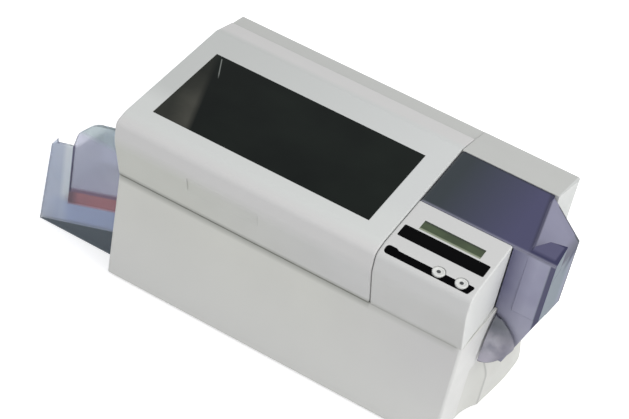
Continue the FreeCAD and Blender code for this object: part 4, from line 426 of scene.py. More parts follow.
def strip(line, section):
    """Section of (outward, height) points carried along a line of (x, y) points: a point is
    the line's own plus outward times the level normal on the left of the line's run."""
    run = np.gradient(line, axis=0)
    run /= np.linalg.norm(run, axis=1)[:, None]
    left = np.stack([-run[:, 1], run[:, 0]], -1)
    level = line[:, None, :] + left[:, None, :] * section[None, :, :1]
    tall = np.broadcast_to(section[None, :, 1:], level.shape[:2] + (1,))
    return np.concatenate([level, tall], -1)


def wall_x(y):
    """Place of the casing's right end wall, which flares towards the rear."""
    return casing_right + casing_flare * (y - casing_front) / (casing_rear - casing_front)


seam_runs = (
    ([(wall_x(tray_gap_front), tray_gap_front), (wall_x(casing_front), casing_front),
      (casing_left, casing_front), (casing_left, slot_front)], [0.0, 4.0, 4.0, 0.0]),
    ([(casing_left, slot_front_end), (casing_left, slot_back)], [0.0, 0.0]),
    ([(casing_left, slot_back_end), (casing_left, casing_rear),
      (wall_x(casing_rear), casing_rear), (wall_x(tray_gap_back), tray_gap_back)],
     [0.0, 4.0, 9.0, 0.0]),
)
seam_middle = (seam_low + seam_high) / 2
seam_half = (seam_high - seam_low) / 2
half_turn = np.linspace(-0.5, 0.5, 9) * math.pi
seam_face = np.stack([np.cos(half_turn) * seam_proud,
                      seam_middle + np.sin(half_turn) * seam_half], -1)
seam_section = np.concatenate([seam_face, [(-seam_sunk, seam_high), (-seam_sunk, seam_low)]])


def gap_shade_tone(tree, place, axes):
    """Grey foam as painted shade in the seam's gap, paler under the control housing and palest
    round the right end, where that shade is fainter.
    """
    cloud = spread(tree, noise(tree, place, 60.0, 3.0), 0.35, 0.65)
    dark = mixed(tree, cloud, screen(136, 137, 131), screen(124, 125, 119))
    round_end = spread(tree, axes[0], 0.250, right_corner[1])
    grey = mixed(tree, round_end, screen(172, 172, 168), screen(206, 206, 201))
    return mixed(tree, spread(tree, axes[0], *lid_end), dark, grey)


gap_shade_foam = surface("seam_gap_shade", gap_shade_tone, screen(150, 150, 146), 60.0, 3000.0, 0.05, 0.8,
                    gloss=0.1, edge=0.2)
seam_skins = [(*capped(strip(rounded(corners, reach, 9, closed=False), seam_section)), 0)
              for corners, reach in seam_runs]
seam = moulded("seam_strip", seam_skins, gap_shade_foam)
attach(seam, "casing")


# Plinth: the foot of the casing under the feeder. It is moulded with the base and swells
# out of its end wall in one soft curve, lower towards the rear, with an upright edge at its
# front corner. How far it stands out of the wall falls with the cosine of the height.
plinth_bottom = 4.0
plinth_top = 86.0
plinth_full = 50.0
plinth_falling = 46.0
plinth_shorter = 34.0
plinth_start = -68.5
plinth_edge = (272.0, -32.5)
plinth_end = 97.5
plinth_slope = 95.0
plinth_corners = [(wall_x(plinth_start), plinth_start), plinth_edge, (280.5, 25.5), (281.5, 69.5),
                  (wall_x(plinth_end), plinth_end)]
plinth_turn = rounded(plinth_corners, [0.0, 2.0, 18.0, 12.0, 0.0], 7, closed=False)
edge_x, edge_y = plinth_edge
share = np.linspace(0.0, 1.0, 12)[:-1]
scoop_y = plinth_start + (edge_y - plinth_start) * share
scoop_x = wall_x(scoop_y) + (edge_x - wall_x(edge_y)) * share ** 2
plinth_line = np.concatenate([np.stack([scoop_x, scoop_y], -1), plinth_turn[2:]])
levels = np.concatenate([[plinth_bottom, plinth_bottom + 0.6], np.linspace(8.0, plinth_top, 22)])
backward = np.clip((plinth_line[:, 1] - edge_y) / plinth_slope, 0.0, 1.0)
full_height = plinth_full - plinth_falling * backward
top_height = plinth_top - plinth_shorter * backward
climb = np.clip((levels[:, None] - full_height) / (top_height - full_height), 0.0, 1.0)
sole_draw = np.where(levels < plinth_bottom + 0.3, 0.97, 1.0)[:, None]
swell = (0.5 + 0.5 * np.cos(math.pi * climb)) * sole_draw
wall_line = np.stack([wall_x(plinth_line[:, 1]), plinth_line[:, 1]], -1)
outer = wall_line[None] + (plinth_line - wall_line)[None] * swell[:, :, None]
inner = np.broadcast_to((wall_line - [0.6, 0.0])[None, ::-1], outer.shape)
plan = np.concatenate([outer, inner], 1)
tall = np.broadcast_to(levels[:, None, None], plan.shape[:2] + (1,))
plinth_rings = np.concatenate([plan, tall], -1)


def plinth_tone(tree, place, axes):
    """Grey of the base with a soft shade down the upright edge."""
    cloud = spread(tree, noise(tree, place, 7.0, 4.0), 0.3, 0.7)
    grey = mixed(tree, cloud, screen(208, 208, 203), screen(202, 202, 198))
    edge = product(tree, spread(tree, axes[1], (edge_y - 2.5) * mm, (edge_y - 0.8) * mm),
                   spread(tree, axes[1], (edge_y + 0.8) * mm, (edge_y + 2.5) * mm, 1.0, 0.0))
    return mixed(tree, edge, grey, screen(176, 176, 173))


# Its edges are tinted a little darker than its grey, as painted shade along its corners.
plinth_grey = surface("plinth_grey", plinth_tone, screen(202, 202, 198), 7.0, 2600.0, 0.05, 0.46,
                      gloss=0.3, edge=1.5, edge_wear_and_light=0.95)
plinth = moulded("plinth_swell", [(*capped(plinth_rings), 0)], plinth_grey)
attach(plinth, "casing")
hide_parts("feeder_plinth")


# Feet: four pads of black rubber under the corners of the base, moulded round with a hollow
# sole. A stud on each one is pressed into a hole of the base.
def turned(profile, centre, sides=40):
    """Piece turned about an upright axis: each (radius, height) of the profile goes round, to
    the points centre + (radius * cos a, radius * sin a, height)."""
    angle = np.linspace(0.0, 2.0 * math.pi, sides, endpoint=False)
    radius, height = np.array(profile, float).T[:, :, None]
    ring = np.broadcast_arrays(radius * np.cos(angle), radius * np.sin(angle), height)
    return np.array(centre) + np.stack(ring, -1)


rubber_black = surface("rubber_black", screen(30, 30, 31), screen(38, 38, 38), 40.0, 1600.0, 0.08,
                       0.8, gloss=0.3)
foot_inset = 30.0
foot_profile = [(0.0, 0.8), (8.0, 0.8), (8.6, 0.0), (10.2, 0.0), (11.0, 0.9), (10.6, 4.0),
                (3.0, 4.0), (3.0, 6.6), (2.4, 7.0), (0.0, 7.0)]
feet = [(*skin(turned(foot_profile, (foot_x, foot_y, 0.0))), 0)
        for foot_x in (casing_left + foot_inset, casing_right - foot_inset)
        for foot_y in (casing_front + foot_inset, casing_rear - foot_inset)]
pads = moulded("foot_pads", feet, rubber_black)
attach(pads, "casing")
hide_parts("rubber_feet")


# Window of the lid: a sheet of smoked acrylic, glued in from below, so dark that only the nearest
# wall behind it would show through; that wall and the light on it are painted on the sheet.
across_wedge = (1.0, 0.318, 0.0)
wedge_edge = (-0.1565, -0.1485)
wedge_glow = (-0.182, -0.160)
wedge_fading = (-0.060, -0.005)
across_corner = (1.0, 0.458, 0.0)
corner_middle = -0.1430
corner_ends = ((-0.006, 0.002), (0.0275, 0.0285))


def window_tone(tree, place, axes):
    """Nearly black. At its left end a warm grey wedge that narrows to the rear is painted light,
    for the lit wall of the ribbon bay behind the sheet, and a painted highlight runs up where the
    bay's upright corner catches light."""
    cloud = spread(tree, noise(tree, place, 9.0, 3.0), 0.4, 0.7)
    dark = mixed(tree, cloud, screen(6, 13, 11), screen(18, 25, 21))
    # Painted light on the wall of the ribbon bay behind the sheet, as a warm grey wedge.
    fold = along(tree, place, across_wedge)
    inside = spread(tree, fold, *wedge_edge, 1.0, 0.0)
    ridge = spread(tree, fold, *wedge_glow, 0.45, 1.0)
    front = spread(tree, axes[1], *wedge_fading, 1.0, 0.25)
    grain = spread(tree, noise(tree, place, 40.0, 3.0), 0.3, 0.7, 0.75, 1.0)
    dark = mixed(tree, product(tree, inside, ridge, front, grain), dark, screen(66, 66, 60))
    # Painted highlight where the bay's upright corner catches light.
    corner = along(tree, place, across_corner)
    low_end, high_end = corner_ends
    line = product(
        tree,
        spread(tree, corner, corner_middle - 1.0 * mm, corner_middle - 0.2 * mm),
        spread(tree, corner, corner_middle + 0.2 * mm, corner_middle + 1.0 * mm, 1.0, 0.0),
        spread(tree, axes[1], *low_end, 0.0, 0.9),
        spread(tree, axes[1], *high_end, 1.0, 0.0),
    )
    return mixed(tree, line, dark, screen(132, 136, 132))


smoke = surface("smoked_sheet", window_tone, screen(30, 32, 30), 5.0, 400.0, 0.01, 0.12,
                gloss=0.1, edge=0.3)
dress(smoke, "lid_window")


# Panel: two printed black bands and the green display behind its clear lens, which has painted
# shade along its top edge and painted light along its bottom edge.
band_black = surface("band_black", screen(3, 3, 4), screen(7, 7, 8), 20.0, 1800.0, 0.01,
                     0.4, gloss=0.02, edge=0.2)
dress(band_black, "panel_overlay")


def lens_tone(tree, place, axes):
    """Green with painted shade at the rear edge of the lens and painted light at its front edge.
    """
    low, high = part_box("display_lens")
    deep = high[1] - low[1]
    cloud = spread(tree, noise(tree, place, 60.0, 3.0), 0.35, 0.65)
    green = mixed(tree, cloud, screen(58, 70, 48), screen(68, 82, 56))
    # Painted shade at the rear edge and painted light at the front edge.
    rear = spread(tree, axes[1], high[1] - 0.26 * deep, high[1] - 0.03 * deep)
    front = spread(tree, axes[1], low[1] + 0.10 * deep, low[1] + 0.20 * deep, 1.0, 0.0)
    return mixed(tree, front, mixed(tree, rear, green, screen(40, 48, 38)), screen(140, 148, 126))


lens_green = surface("lens_green", lens_tone, screen(80, 96, 64), 30.0, 900.0, 0.01, 0.16,
                     gloss=0.3, edge=0.3)
dress(lens_green, "display_lens")
frame_green = surface("display_green", screen(40, 52, 34), screen(52, 64, 44), 40.0, 900.0, 0.01,
                      0.5)
dress(frame_green, "display_module")


# Keys: two turned white keys, each with a raised rim, a shallow dish and a dark lamp lens
# in the middle, held from below by a flange.
key_white = surface("key_white", screen(218, 219, 216), screen(210, 211, 208), 30.0, 1500.0, 0.01,
                    0.32)
lamp_dark = surface("key_lamp_dark", screen(52, 54, 56), screen(64, 66, 68), 90.0, 1500.0, 0.01,
                    0.25)
key_sides = 48
key_lens_row = 12
for side in ("left", "right"):
    key_low, key_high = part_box(side + "_button")
    middle = [(key_low[0] + key_high[0]) / 2 / mm, (key_low[1] + key_high[1]) / 2 / mm, 0.0]
    foot, top = key_low[2] / mm, key_high[2] / mm
    key_profile = [(0.0, foot), (8.9, foot), (8.9, foot + 1.6), (7.4, foot + 1.6),
                   (7.4, top - 1.0), (7.2, top - 0.5), (6.8, top - 0.15), (6.2, top), (5.2, top),
                   (4.7, top - 0.25), (4.3, top - 0.6), (2.6, top - 0.75), (2.3, top - 0.75),
                   (2.3, top - 0.35), (1.8, top - 0.15), (0.9, top - 0.05), (0.0, top)]
    points, faces = skin(turned(key_profile, middle, key_sides))
    row = np.repeat(np.arange(len(key_profile) - 1), key_sides)
    finish = np.where(row >= key_lens_row, 1, 0)
    key = moulded(side + "_key", [(points, faces, finish)], key_white, lamp_dark)
    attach(key, side + "_button")
    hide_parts(side + "_button")


# Feeder cover: a clear moulding in a violet smoke, hinged at its left edge. It is glossy
# outside, a little cloudy inside, and looks darker along its thick edges and folds.
def clear(name, paint, rough, haze, edge, edge_tone):
    """Clear plastic painted by place. A share of haze gives it a body colour, it is denser
    where it is seen along its surface, and edge mm at its corners show the edge tone."""
    made = bpy.data.materials.new(name)
    made.use_nodes = True
    tree = made.node_tree
    shader = tree.nodes["Principled BSDF"]
    place, axes = places(tree)
    normal, turned_away = soft_edges(tree, edge)
    rim = spread(tree, turned_away, 0.0, 0.8, 0.0, 0.85)
    tone = mixed(tree, rim, paint(tree, place, axes), edge_tone)
    tree.links.new(tone, shader.inputs["Base Color"])
    shader.inputs["Roughness"].default_value = rough
    shader.inputs["IOR"].default_value = 1.4
    glance = tree.nodes.new("ShaderNodeLayerWeight")
    glance.inputs["Blend"].default_value = 0.5
    clearness = spread(tree, glance.outputs["Facing"], 0.45, 0.9, 1.0 - haze, 0.0)
    tree.links.new(clearness, shader.inputs["Transmission Weight"])
    shine = spread(tree, glance.outputs["Facing"], 0.5, 0.82, 0.3, 0.0)
    tree.links.new(shine, shader.inputs["Specular IOR Level"])
    ripple = tree.nodes.new("ShaderNodeBump")
    ripple.inputs["Distance"].default_value = 0.2 * mm
    ripple.inputs["Strength"].default_value = 0.3
    tree.links.new(noise(tree, place, 45.0, 1.0), ripple.inputs["Height"])
    tree.links.new(normal, ripple.inputs["Normal"])
    tree.links.new(ripple.outputs[0], shader.inputs["Normal"])
    return made


cover_level = (0.2545, 0.2562)
near_casing = (0.260, 0.290)
end_wall = (0.3025, 0.3055)
end_fold_front = (-0.0352, -0.0336)
end_fold_from = (0.3035, 0.3050)
cover_bend = (-0.0345, -0.0325)
slope_foot = (0.195, 0.205)
slope_darker = (0.2960, 0.3030)
slope_end = (0.3050, 0.3065)
cover_foot = (0.12, 0.20)
foot_end = (0.300, 0.303)
rear_fold = ((0.0655, 0.0672), (0.268, 0.270))
far_fold = ((0.0635, 0.0650), (0.296, 0.298))
top_across = (0.16, 0.25)
across_fold = (1.0, 0.19, 0.0)
fold_place = (0.2670, 0.2700)
front_fold_highlight = (-0.0386, -0.0345)
rear_edge = (0.0650, 0.0670)
thumb_plate = (0.274, 0.277)
thumb_rims = ((1, -0.0325, -0.0270, 1.0), (1, -0.0050, -0.0035, 0.0), (0, 0.3035, 0.3055, 0.0))


def cover_walls(tree, cloud, axes):
    """Pale violet on slope and front, darker near the casing and greyer on the end wall, with
    dark upright folds at the front corner of the end wall and along the rear."""
    walls = mixed(tree, cloud, screen(152, 152, 176), screen(168, 168, 190))
    near = spread(tree, axes[0], *near_casing, 1.0, 0.0)
    walls = mixed(tree, near, walls, screen(108, 108, 136))
    walls = mixed(tree, spread(tree, axes[0], *end_wall), walls, screen(146, 154, 162))
    fold = product(tree, spread(tree, axes[1], *end_fold_front, 1.0, 0.0),
                   spread(tree, axes[0], *end_fold_from))
    walls = mixed(tree, fold, walls, screen(84, 84, 112))
    slope = product(tree, spread(tree, axes[1], *cover_bend), spread(tree, axes[2], *slope_foot),
                    spread(tree, axes[0], *slope_end, 1.0, 0.0))
    slate = mixed(tree, cloud, screen(126, 126, 148), screen(138, 138, 160))
    slate = mixed(tree, spread(tree, axes[0], *slope_darker), slate, screen(112, 114, 128))
    walls = mixed(tree, slope, walls, slate)
    low_down = product(tree, spread(tree, axes[2], *cover_foot, 1.0, 0.0),
                       spread(tree, axes[0], *foot_end, 0.7, 0.0))
    walls = mixed(tree, low_down, walls, screen(170, 170, 184))
    for (depth, across), dark in ((rear_fold, screen(70, 72, 84)), (far_fold, screen(84, 88, 94))):
        behind = product(tree, spread(tree, axes[1], *depth), spread(tree, axes[0], *across))
        walls = mixed(tree, behind, walls, dark)
    return walls


def cover_tone(tree, place, axes):
    """Slate on the level top, going violet to the right, with a painted highlight along the fold
    at its front, a dark line at its rear and a dark rim round the thumb plate; the walls in their
    own tones."""
    cloud = spread(tree, noise(tree, place, 14.0, 3.0), 0.35, 0.65)
    walls = cover_walls(tree, cloud, axes)
    to_right = spread(tree, axes[0], *top_across)
    top = mixed(tree, to_right, screen(50, 58, 64), screen(74, 74, 106))
    fold = spread(tree, along(tree, place, across_fold), *fold_place, 0.0, 0.8)
    top = mixed(tree, fold, top, screen(56, 56, 80))
    thumb = spread(tree, axes[0], *thumb_plate)
    top = mixed(tree, thumb, top, screen(88, 87, 118))
    for axis, low, high, first in thumb_rims:
        rim = product(tree, thumb, spread(tree, axes[axis], low, high, first, 1.0 - first))
        top = mixed(tree, rim, top, screen(54, 54, 88))
    # Painted highlight along the front fold of the top.
    front = spread(tree, axes[1], *front_fold_highlight, 0.8, 0.0)
    top = mixed(tree, front, top, screen(150, 150, 168))
    rear = spread(tree, axes[1], *rear_edge, 0.0, 0.7)
    top = mixed(tree, rear, top, screen(44, 46, 58))
    return mixed(tree, spread(tree, axes[2], *cover_level), walls, top)


cover_violet = clear("cover_violet", cover_tone, 0.15, 0.86, 0.8, screen(58, 58, 86))
dress(cover_violet, "feeder_cover")


# Lip of the feeder cover: a hollow bulge at the foot of its front wall, where a thumb lifts
# it. In plan it is a quarter of an ellipse that shrinks to a point as it runs up the wall,
# and its foot slants up to the right with the cover's own.
lip_left = casing_right + 4.9
lip_low = 96.0
lip_high = 158.0
lip_forward = 18.0
lip_along = 32.0
lip_slant = 24.0
lip_tip = (0.126, 0.146)
lip_back = -38.0
wall_high = 258.0
wall_lean = 3.0 / 170.0
lip_skins = ((1.0, 0.0), (0.82, 1.2))
lip_rise = np.linspace(0.0, 1.0, 15)
lip_size = np.sin(0.5 * math.pi * (1.0 - lip_rise)) ** 0.8
quarter = np.linspace(0.0, 0.5 * math.pi, 17)
lip_z = lip_low + (lip_high - lip_low) * lip_rise
lip_wall = lip_back - wall_lean * (wall_high - lip_z)
lip_rings = []
for draw, sunk in lip_skins:
    lip_x = lip_left + sunk + lip_along * draw * lip_size[:, None] * np.sin(quarter)[None]
    lip_y = lip_wall[:, None] - lip_forward * draw * lip_size[:, None] * np.cos(quarter)[None]
    slanted = lip_z[:, None] + lip_slant * (1.0 - lip_rise[:, None]) * np.sin(quarter)[None] ** 2
    lip_rings.append(np.stack([lip_x, lip_y, slanted], -1))
lip_grid = np.concatenate([lip_rings[0], lip_rings[1][:, ::-1]], 1)


def lip_tone(tree, place, axes):
    """Dark violet patches on a paler violet, as light breaks up in the bend of the lip, darker
    at its tip and to the right."""
    cloud = spread(tree, noise(tree, place, 55.0, 3.0), 0.4, 0.62)
    low_down = spread(tree, axes[2], lip_low * mm, (lip_low + 26.0) * mm)
    pale = mixed(tree, low_down, screen(188, 184, 198), screen(180, 178, 188))
    tone = mixed(tree, product(tree, cloud, low_down), pale, screen(146, 146, 158))
    to_right = spread(tree, axes[0], (lip_left + 10.0) * mm, (lip_left + 24.0) * mm, 0.0, 0.6)
    tone = mixed(tree, to_right, tone, screen(110, 108, 122))
    high_up = spread(tree, axes[2], *lip_tip, 0.0, 0.8)
    return mixed(tree, high_up, tone, screen(92, 96, 102))


lip_violet = clear("lip_violet", lip_tone, 0.4, 0.9, 1.0, screen(66, 66, 90))
lip = moulded("cover_lip", [(*capped(lip_grid), 0)], lip_violet)
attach(lip, "feeder_cover")


# Output bin: a blue-grey clear moulding that hangs on two hooks in the left end of the casing.
# Its floor slopes down to the left, and a taller second layer stands in its front wall.
bin_outer_end = -309.5
bin_inner_end = -191.1
bin_front = -91.5
bin_floor_low = 3.5
bin_floor_rise = 42.0
bin_slope = bin_floor_rise / (bin_inner_end - bin_outer_end)
bin_panel_left = -271.5
bin_panel_clearance = 49.0
bin_panel_crest = (0.158, 0.168)
bin_notch = (0.1385, 0.1395)


def bin_tone(tree, place, axes):
    """Blue-grey, paler beside the panel and along the crest, with a violet line along the panel's
    left and lower edges, rosy before the printed card with a painted shadow at the cards' left
    end, and painted slate shade below the floor."""
    def past(axis, start, end, *shares):
        """Spread with its two places in mm."""
        return spread(tree, axis, start * mm, end * mm, *shares)

    left = bin_panel_left
    above = along(tree, place, (-bin_slope, 0.0, 1.0))
    ground = bin_floor_low - bin_slope * bin_outer_end
    panel_foot = ground + bin_panel_clearance
    cloud = spread(tree, noise(tree, place, 16.0, 3.0), 0.35, 0.65)
    body = mixed(tree, past(axes[0], left - 14, left - 8),
                 mixed(tree, cloud, screen(216, 224, 238), screen(224, 230, 242)),
                 mixed(tree, cloud, screen(244, 250, 254), screen(248, 253, 255)))
    right = past(axes[0], left - 0.8, left - 0.2)
    in_front = past(axes[1], bin_front + 5, bin_front + 7, 1.0, 0.0)
    rose = product(tree, in_front, right, past(above, ground + 28, ground + 32))
    low_down = product(tree, past(axes[0], bin_outer_end + 6, left + 2), in_front,
                       past(above, ground + 30, ground + 44, 1.0, 0.0))
    # Painted shadow at the left end of the cards.
    corner = product(tree, rose, past(axes[0], left + 4, left + 14, 0.8, 0.0))
    rosy, card_left_shadow = screen(206, 158, 168), screen(128, 116, 136)
    window = mixed(tree, corner, mixed(tree, rose, screen(204, 216, 242), rosy), card_left_shadow)
    window = mixed(tree, low_down, body, window)
    window = mixed(tree, rose, window, mixed(tree, corner, rosy, card_left_shadow))
    panel = mixed(tree, cloud, screen(208, 210, 226), screen(216, 218, 232))
    panel = mixed(tree, spread(tree, axes[2], *bin_panel_crest), panel, screen(196, 208, 212))
    violet = product(tree, in_front, past(above, panel_foot + 3.5, panel_foot + 8, 0.85, 0.0))
    panel = mixed(tree, violet, panel, screen(146, 116, 148))
    in_panel = past(above, panel_foot - 0.4, panel_foot + 0.4)
    body = mixed(tree, in_panel, window, mixed(tree, right, body, panel))
    line = product(tree, past(axes[0], left + 1.8, left + 2.8, 1.0, 0.0), right, in_panel,
                   spread(tree, axes[2], *bin_notch, 1.0, 0.0))
    body = mixed(tree, line, body, screen(98, 96, 126))
    # Painted shade below the floor, where its underside lies in shadow.
    below = past(above, ground - 2.8, ground - 1.6, 1.0, 0.0)
    return mixed(tree, below, body, screen(84, 96, 106))


bin_blue = clear("bin_blue", bin_tone, 0.14, 0.3, 0.8, screen(120, 124, 150))
dress(bin_blue, "output_hopper")


# Cards: piles of single plastic cards with round corners, none quite square on the next.
# The finished pile lies on the sloping floor of the bin with one printed card on top.
card_long = 85.6
card_wide = 54.0
card_thick = 0.76
card_corner = 3.2
card_gap = 0.06


def pile(count, corner, along, across, upward, slip, seed):
    """Pile of cards: card k is a rounded outline in the plane of along and across, moved up by
    k thicknesses, and slipped at random by up to slip mm along and 0.6 of that across."""
    outline = rounded([(0.0, 0.0), (card_long, 0.0), (card_long, card_wide), (0.0, card_wide)],
                      card_corner, 5)
    along, across, upward = (np.array(v, float) for v in (along, across, upward))
    drift = np.random.default_rng(seed).uniform(-slip, slip, (count, 1, 2))
    drift[:, :, 1] *= 0.6
    flat = outline[None] + drift
    flat = flat[..., :1] * along + flat[..., 1:] * across + np.array(corner)
    base = flat + np.arange(count)[:, None, None] * card_thick * upward
    return [(*capped(np.stack([one, one + (card_thick - card_gap) * upward])), 0) for one in base]


card_white = surface("card_white", screen(236, 236, 233), screen(226, 228, 230), 20.0, 900.0,
                     0.01, 0.35)
print_strip = (-0.064, -0.060)


def print_tone(tree, place, axes):
    """Plain print: a red-brown strip in soft patches along the front, pale violet behind it."""
    cloud = spread(tree, noise(tree, place, 30.0, 4.0), 0.35, 0.65)
    red = mixed(tree, cloud, screen(176, 82, 84), screen(112, 52, 62))
    return mixed(tree, spread(tree, axes[1], *print_strip), red, screen(186, 186, 204))


card_print = surface("card_print", print_tone, screen(150, 80, 84), 24.0, 900.0, 0.01, 0.3)
slope = math.atan(bin_slope)
finished_count = 38
finished_inset = 27.0
finished_front = 4.0
reach_up = finished_count * card_thick * math.sin(slope)
finished_corner = (bin_outer_end + finished_inset + reach_up, bin_front + finished_front,
                   bin_floor_low + math.tan(slope) * (finished_inset + reach_up) + 0.05)
finished = pile(finished_count, finished_corner, (math.cos(slope), 0.0, math.sin(slope)),
                (0, 1, 0), (-math.sin(slope), 0.0, math.cos(slope)), 0.5, 11)
finished[-1] = (*finished[-1][:2], 1)
finished_pile = moulded("finished_cards", finished, card_white, card_print)
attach(finished_pile, "output_bin")
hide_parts("output_cards")

blank_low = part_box("input_cards")[0]
blank_count = 58
blanks = pile(blank_count, np.array(blank_low) / mm, (1, 0, 0), (0, 1, 0), (0, 0, 1), 0.25, 5)
blank_pile = moulded("blank_cards", blanks, card_white)
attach(blank_pile, "casing")
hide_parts("input_cards")


# Rollers: ground rubber sleeves on bright steel shafts, which turn in the side plates. The
# driven ones have toothed pulleys on their rear ends.
path_middle = 10.3 * mm


def off_middle(tree, axes):
    """How far each place lies in front of or behind the middle of the card path."""
    off = tree.nodes.new("ShaderNodeMath")
    off.operation = "SUBTRACT"
    off.inputs[1].default_value = path_middle
    tree.links.new(axes[1], off.inputs[0])
    away = tree.nodes.new("ShaderNodeMath")
    away.operation = "ABSOLUTE"
    tree.links.new(off.outputs[0], away.inputs[0])
    return away.outputs[0]


def sleeved(name, half, sleeve, sleeve_rough):
    """Rubber within half mm of the card path's middle, bright turned steel beyond it."""
    made = surface(name, sleeve, sleeve, 40.0, 1700.0, 0.05, sleeve_rough, gloss=0.4, edge=0.3)
    tree = made.node_tree
    shader = tree.nodes["Principled BSDF"]
    away = off_middle(tree, places(tree)[1])
    bare = spread(tree, away, (half - 0.05) * mm, (half + 0.05) * mm)
    tone = shader.inputs["Base Color"].links[0].from_socket
    tree.links.new(mixed(tree, bare, tone, screen(176, 177, 178)), shader.inputs["Base Color"])
    tree.links.new(bare, shader.inputs["Metallic"])
    tree.links.new(spread(tree, bare, 0.0, 1.0, sleeve_rough, 0.28), shader.inputs["Roughness"])
    return made


transport_rubber = sleeved("transport_rubber", 25.0, screen(70, 71, 74), 0.75)
feed_rubber = sleeved("feed_rubber", 15.0, screen(92, 88, 84), 0.85)
pinch_sleeve = sleeved("pinch_sleeve", 23.0, screen(38, 38, 40), 0.6)
tacky_blue = sleeved("tacky_sleeve", 25.0, screen(64, 92, 150), 0.25)
dress(transport_rubber, "cleaning_drive_roller", "first_transport_roller",
      "second_transport_roller", "exit_roller")
dress(feed_rubber, "feed_roller")
dress(pinch_sleeve, "first_pinch_roller", "second_pinch_roller", "exit_pinch_roller")
dress(tacky_blue, "cleaning_roller")
dress(rubber_black, "platen_roller", "flipper_roller")


# Timing belt: a moulded loop of black rubber with teeth inside, which runs over the five
# pulleys of the driven rollers.
belt_low, belt_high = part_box("timing_belt")
belt_y0, belt_y1 = belt_low[1] / mm, belt_high[1] / mm
belt_x0, belt_x1 = belt_low[0] / mm, belt_high[0] / mm
belt_middle = (belt_low[2] + belt_high[2]) / 2 / mm
belt_outer = (belt_high[2] - belt_low[2]) / 2 / mm
belt_span = belt_x1 - belt_x0 - 2 * belt_outer
belt_length = 2 * belt_span + 2 * math.pi * belt_outer
tooth_pitch = 5.0
belt_teeth = int(belt_length / tooth_pitch)
belt_steps = belt_teeth * 4
root_depth = 0.75
tip_depth = 1.25


def loop_points(share, radius):
    """Points of a round-ended loop at a radius: two straight runs joined by half circles, for
    a share of its length from 0 to 1, measured on the outside."""
    s = (share % 1.0) * belt_length
    arc = math.pi * belt_outer
    on_top = s < belt_span
    on_right = (s >= belt_span) & (s < belt_span + arc)
    below = (s >= belt_span + arc) & (s < 2 * belt_span + arc)
    left = belt_x0 + belt_outer
    turn_right = math.pi / 2 - (s - belt_span) / belt_outer
    turn_left = -math.pi / 2 - (s - 2 * belt_span - arc) / belt_outer
    level = 0 * s
    turn = np.select([on_top, on_right, below],
                     [math.pi / 2 + level, turn_right, -math.pi / 2 + level], turn_left)
    centre = np.select([on_top, on_right, below],
                       [left + s, left + belt_span + level,
                        left + belt_span - (s - belt_span - arc)], left + level)
    return centre + radius * np.cos(turn), belt_middle + radius * np.sin(turn)


beat = np.arange(belt_steps) / belt_steps
dip = np.where(np.arange(belt_steps) % 4 < 2, tip_depth, root_depth)
outer_x, outer_z = loop_points(beat, belt_outer)
inner_x, inner_z = loop_points(beat, belt_outer - dip)
belt_rings = np.stack([
    np.stack([outer_x, np.full_like(outer_x, belt_y0), outer_z], -1),
    np.stack([outer_x, np.full_like(outer_x, belt_y1), outer_z], -1),
    np.stack([inner_x, np.full_like(outer_x, belt_y1), inner_z], -1),
    np.stack([inner_x, np.full_like(outer_x, belt_y0), inner_z], -1),
])
belt = moulded("toothed_belt", [(*skin(belt_rings, along=True), 0)], rubber_black)
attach(belt, "casing")
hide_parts("timing_belt")


# Metal: plated sheet for the chassis and the side plates, turned steel for pins and shafts,
# milled aluminium for the print head. Sheet and bars have fine streaks along them.
def streaked(name, colour, drift, streaks, rough):
    """Metal with fine streaks along X: noise squeezed across them and drawn out along them."""
    made = surface(name, colour, drift, 14.0, 700.0, 0.02, rough, metal=1.0)
    tree = made.node_tree
    shader = tree.nodes["Principled BSDF"]
    place = places(tree)[0]
    draw = tree.nodes.new("ShaderNodeMapping")
    draw.inputs["Scale"].default_value = (0.06, 1.0, 1.0)
    tree.links.new(place, draw.inputs["Vector"])
    lines = noise(tree, draw.outputs[0], streaks, 3.0)
    polish = spread(tree, lines, 0.3, 0.7, rough * 0.7, rough * 1.4)
    tree.links.new(polish, shader.inputs["Roughness"])
    return made


steel = streaked("steel", screen(170, 170, 168), screen(184, 184, 182), 900.0, 0.3)
plated = streaked("plated_steel", screen(180, 180, 172), screen(194, 194, 188), 500.0, 0.38)
aluminium = streaked("aluminium", screen(196, 197, 199), screen(206, 207, 209), 1200.0, 0.36)
dress(steel, "case_screws", "hinge_pins", "platen_shaft", "plate_spacers", "motor_pinion",
      "data_ports")
dress(plated, "chassis_plate", "front_side_plate", "rear_side_plate", "power_supply")
dress(aluminium, "print_head")


# Ribbon: dye film wound on two spools with pale flanges, and the web between them, which
# passes under the print head.
film_half = 30.7


def spool_tone(tree, place, axes):
    """Pale plastic at the flanges and journals, dark film between them."""
    cloud = spread(tree, noise(tree, place, 90.0, 3.0), 0.35, 0.65)
    film = mixed(tree, cloud, screen(48, 40, 72), screen(66, 52, 92))
    flange = spread(tree, off_middle(tree, axes), (film_half - 0.1) * mm, (film_half + 0.1) * mm)
    return mixed(tree, flange, film, screen(212, 212, 206))


spool_film = surface("spool_film", spool_tone, screen(120, 116, 130), 15.0, 600.0, 0.01, 0.25)
film_dark = surface("ribbon_dark", screen(52, 42, 78), screen(70, 56, 98), 15.0, 600.0, 0.01,
                    0.18)
dress(spool_film, "supply_spool", "take_up_spool")
dress(film_dark, "ribbon_film")


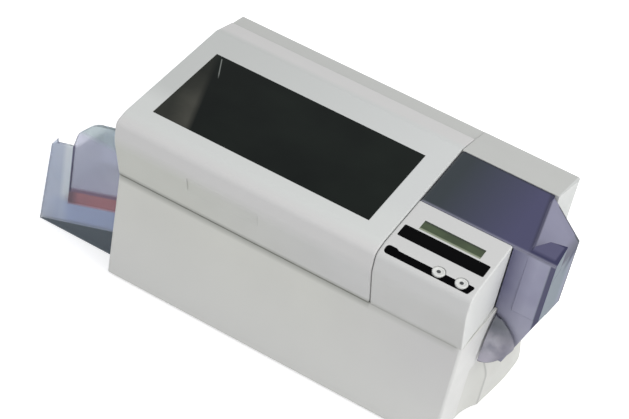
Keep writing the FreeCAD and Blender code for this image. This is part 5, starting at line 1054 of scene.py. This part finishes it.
# Boards: green laminate with black and grey parts soldered on it. The main board stands on
# bright steel standoffs.
standoff = 6.0 * mm
laminate = 1.6 * mm
low_parts = 6.0 * mm


def board_tone(base, top):
    """Steel below base, green laminate up to top, and black and grey parts above it."""
    def tone(tree, place, axes):
        cloud = spread(tree, noise(tree, place, 160.0, 2.0), 0.45, 0.55)
        green = mixed(tree, cloud, screen(22, 74, 46), screen(36, 98, 62))
        tall = spread(tree, axes[2], top + low_parts, top + low_parts + 0.2 * mm)
        upper = mixed(tree, tall, screen(32, 32, 34), screen(58, 62, 78))
        upper = mixed(tree, spread(tree, axes[2], top, top + 0.1 * mm), green, upper)
        on_steel = spread(tree, axes[2], base, base + 0.1 * mm)
        return mixed(tree, on_steel, screen(176, 176, 172), upper)
    return tone


main_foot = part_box("main_board")[0][2] + standoff
board_main = surface("board_main", board_tone(main_foot, main_foot + laminate),
                     screen(40, 96, 62), 60.0, 900.0, 0.03, 0.35)
panel_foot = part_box("panel_board")[0][2]
board_panel = surface("board_panel", board_tone(panel_foot, panel_foot + laminate),
                      screen(40, 96, 62), 60.0, 900.0, 0.03, 0.35)
dress(board_main, "main_board")
dress(board_panel, "panel_board")


# Other mouldings inside: black carriers and frames, the grey feed tray with its weight,
# blue parts that a hand moves, and the pale acetal gear.
black_plastic = surface("black_plastic", screen(36, 36, 38), screen(44, 44, 46), 25.0, 1500.0,
                        0.05, 0.5)
tray_grey = surface("tray_grey", screen(154, 158, 164), screen(146, 150, 156), 10.0, 1800.0,
                    0.05, 0.5)
blue_plastic = surface("blue_plastic", screen(52, 78, 132), screen(60, 86, 140), 20.0, 1500.0,
                       0.04, 0.42)
acetal = surface("acetal", screen(222, 218, 204), screen(214, 210, 196), 30.0, 1500.0, 0.03, 0.45)
dress(black_plastic, "small_motors", "cleaning_cassette", "card_sensors", "head_carriage",
      "flipper_frame", "main_motor", "power_inlet", "power_rocker", "fan_frame", "fan_rotor")
dress(tray_grey, "feed_tray", "card_weight")
dress(blue_plastic, "thickness_gate", "head_lever")
dress(acetal, "drive_gear")
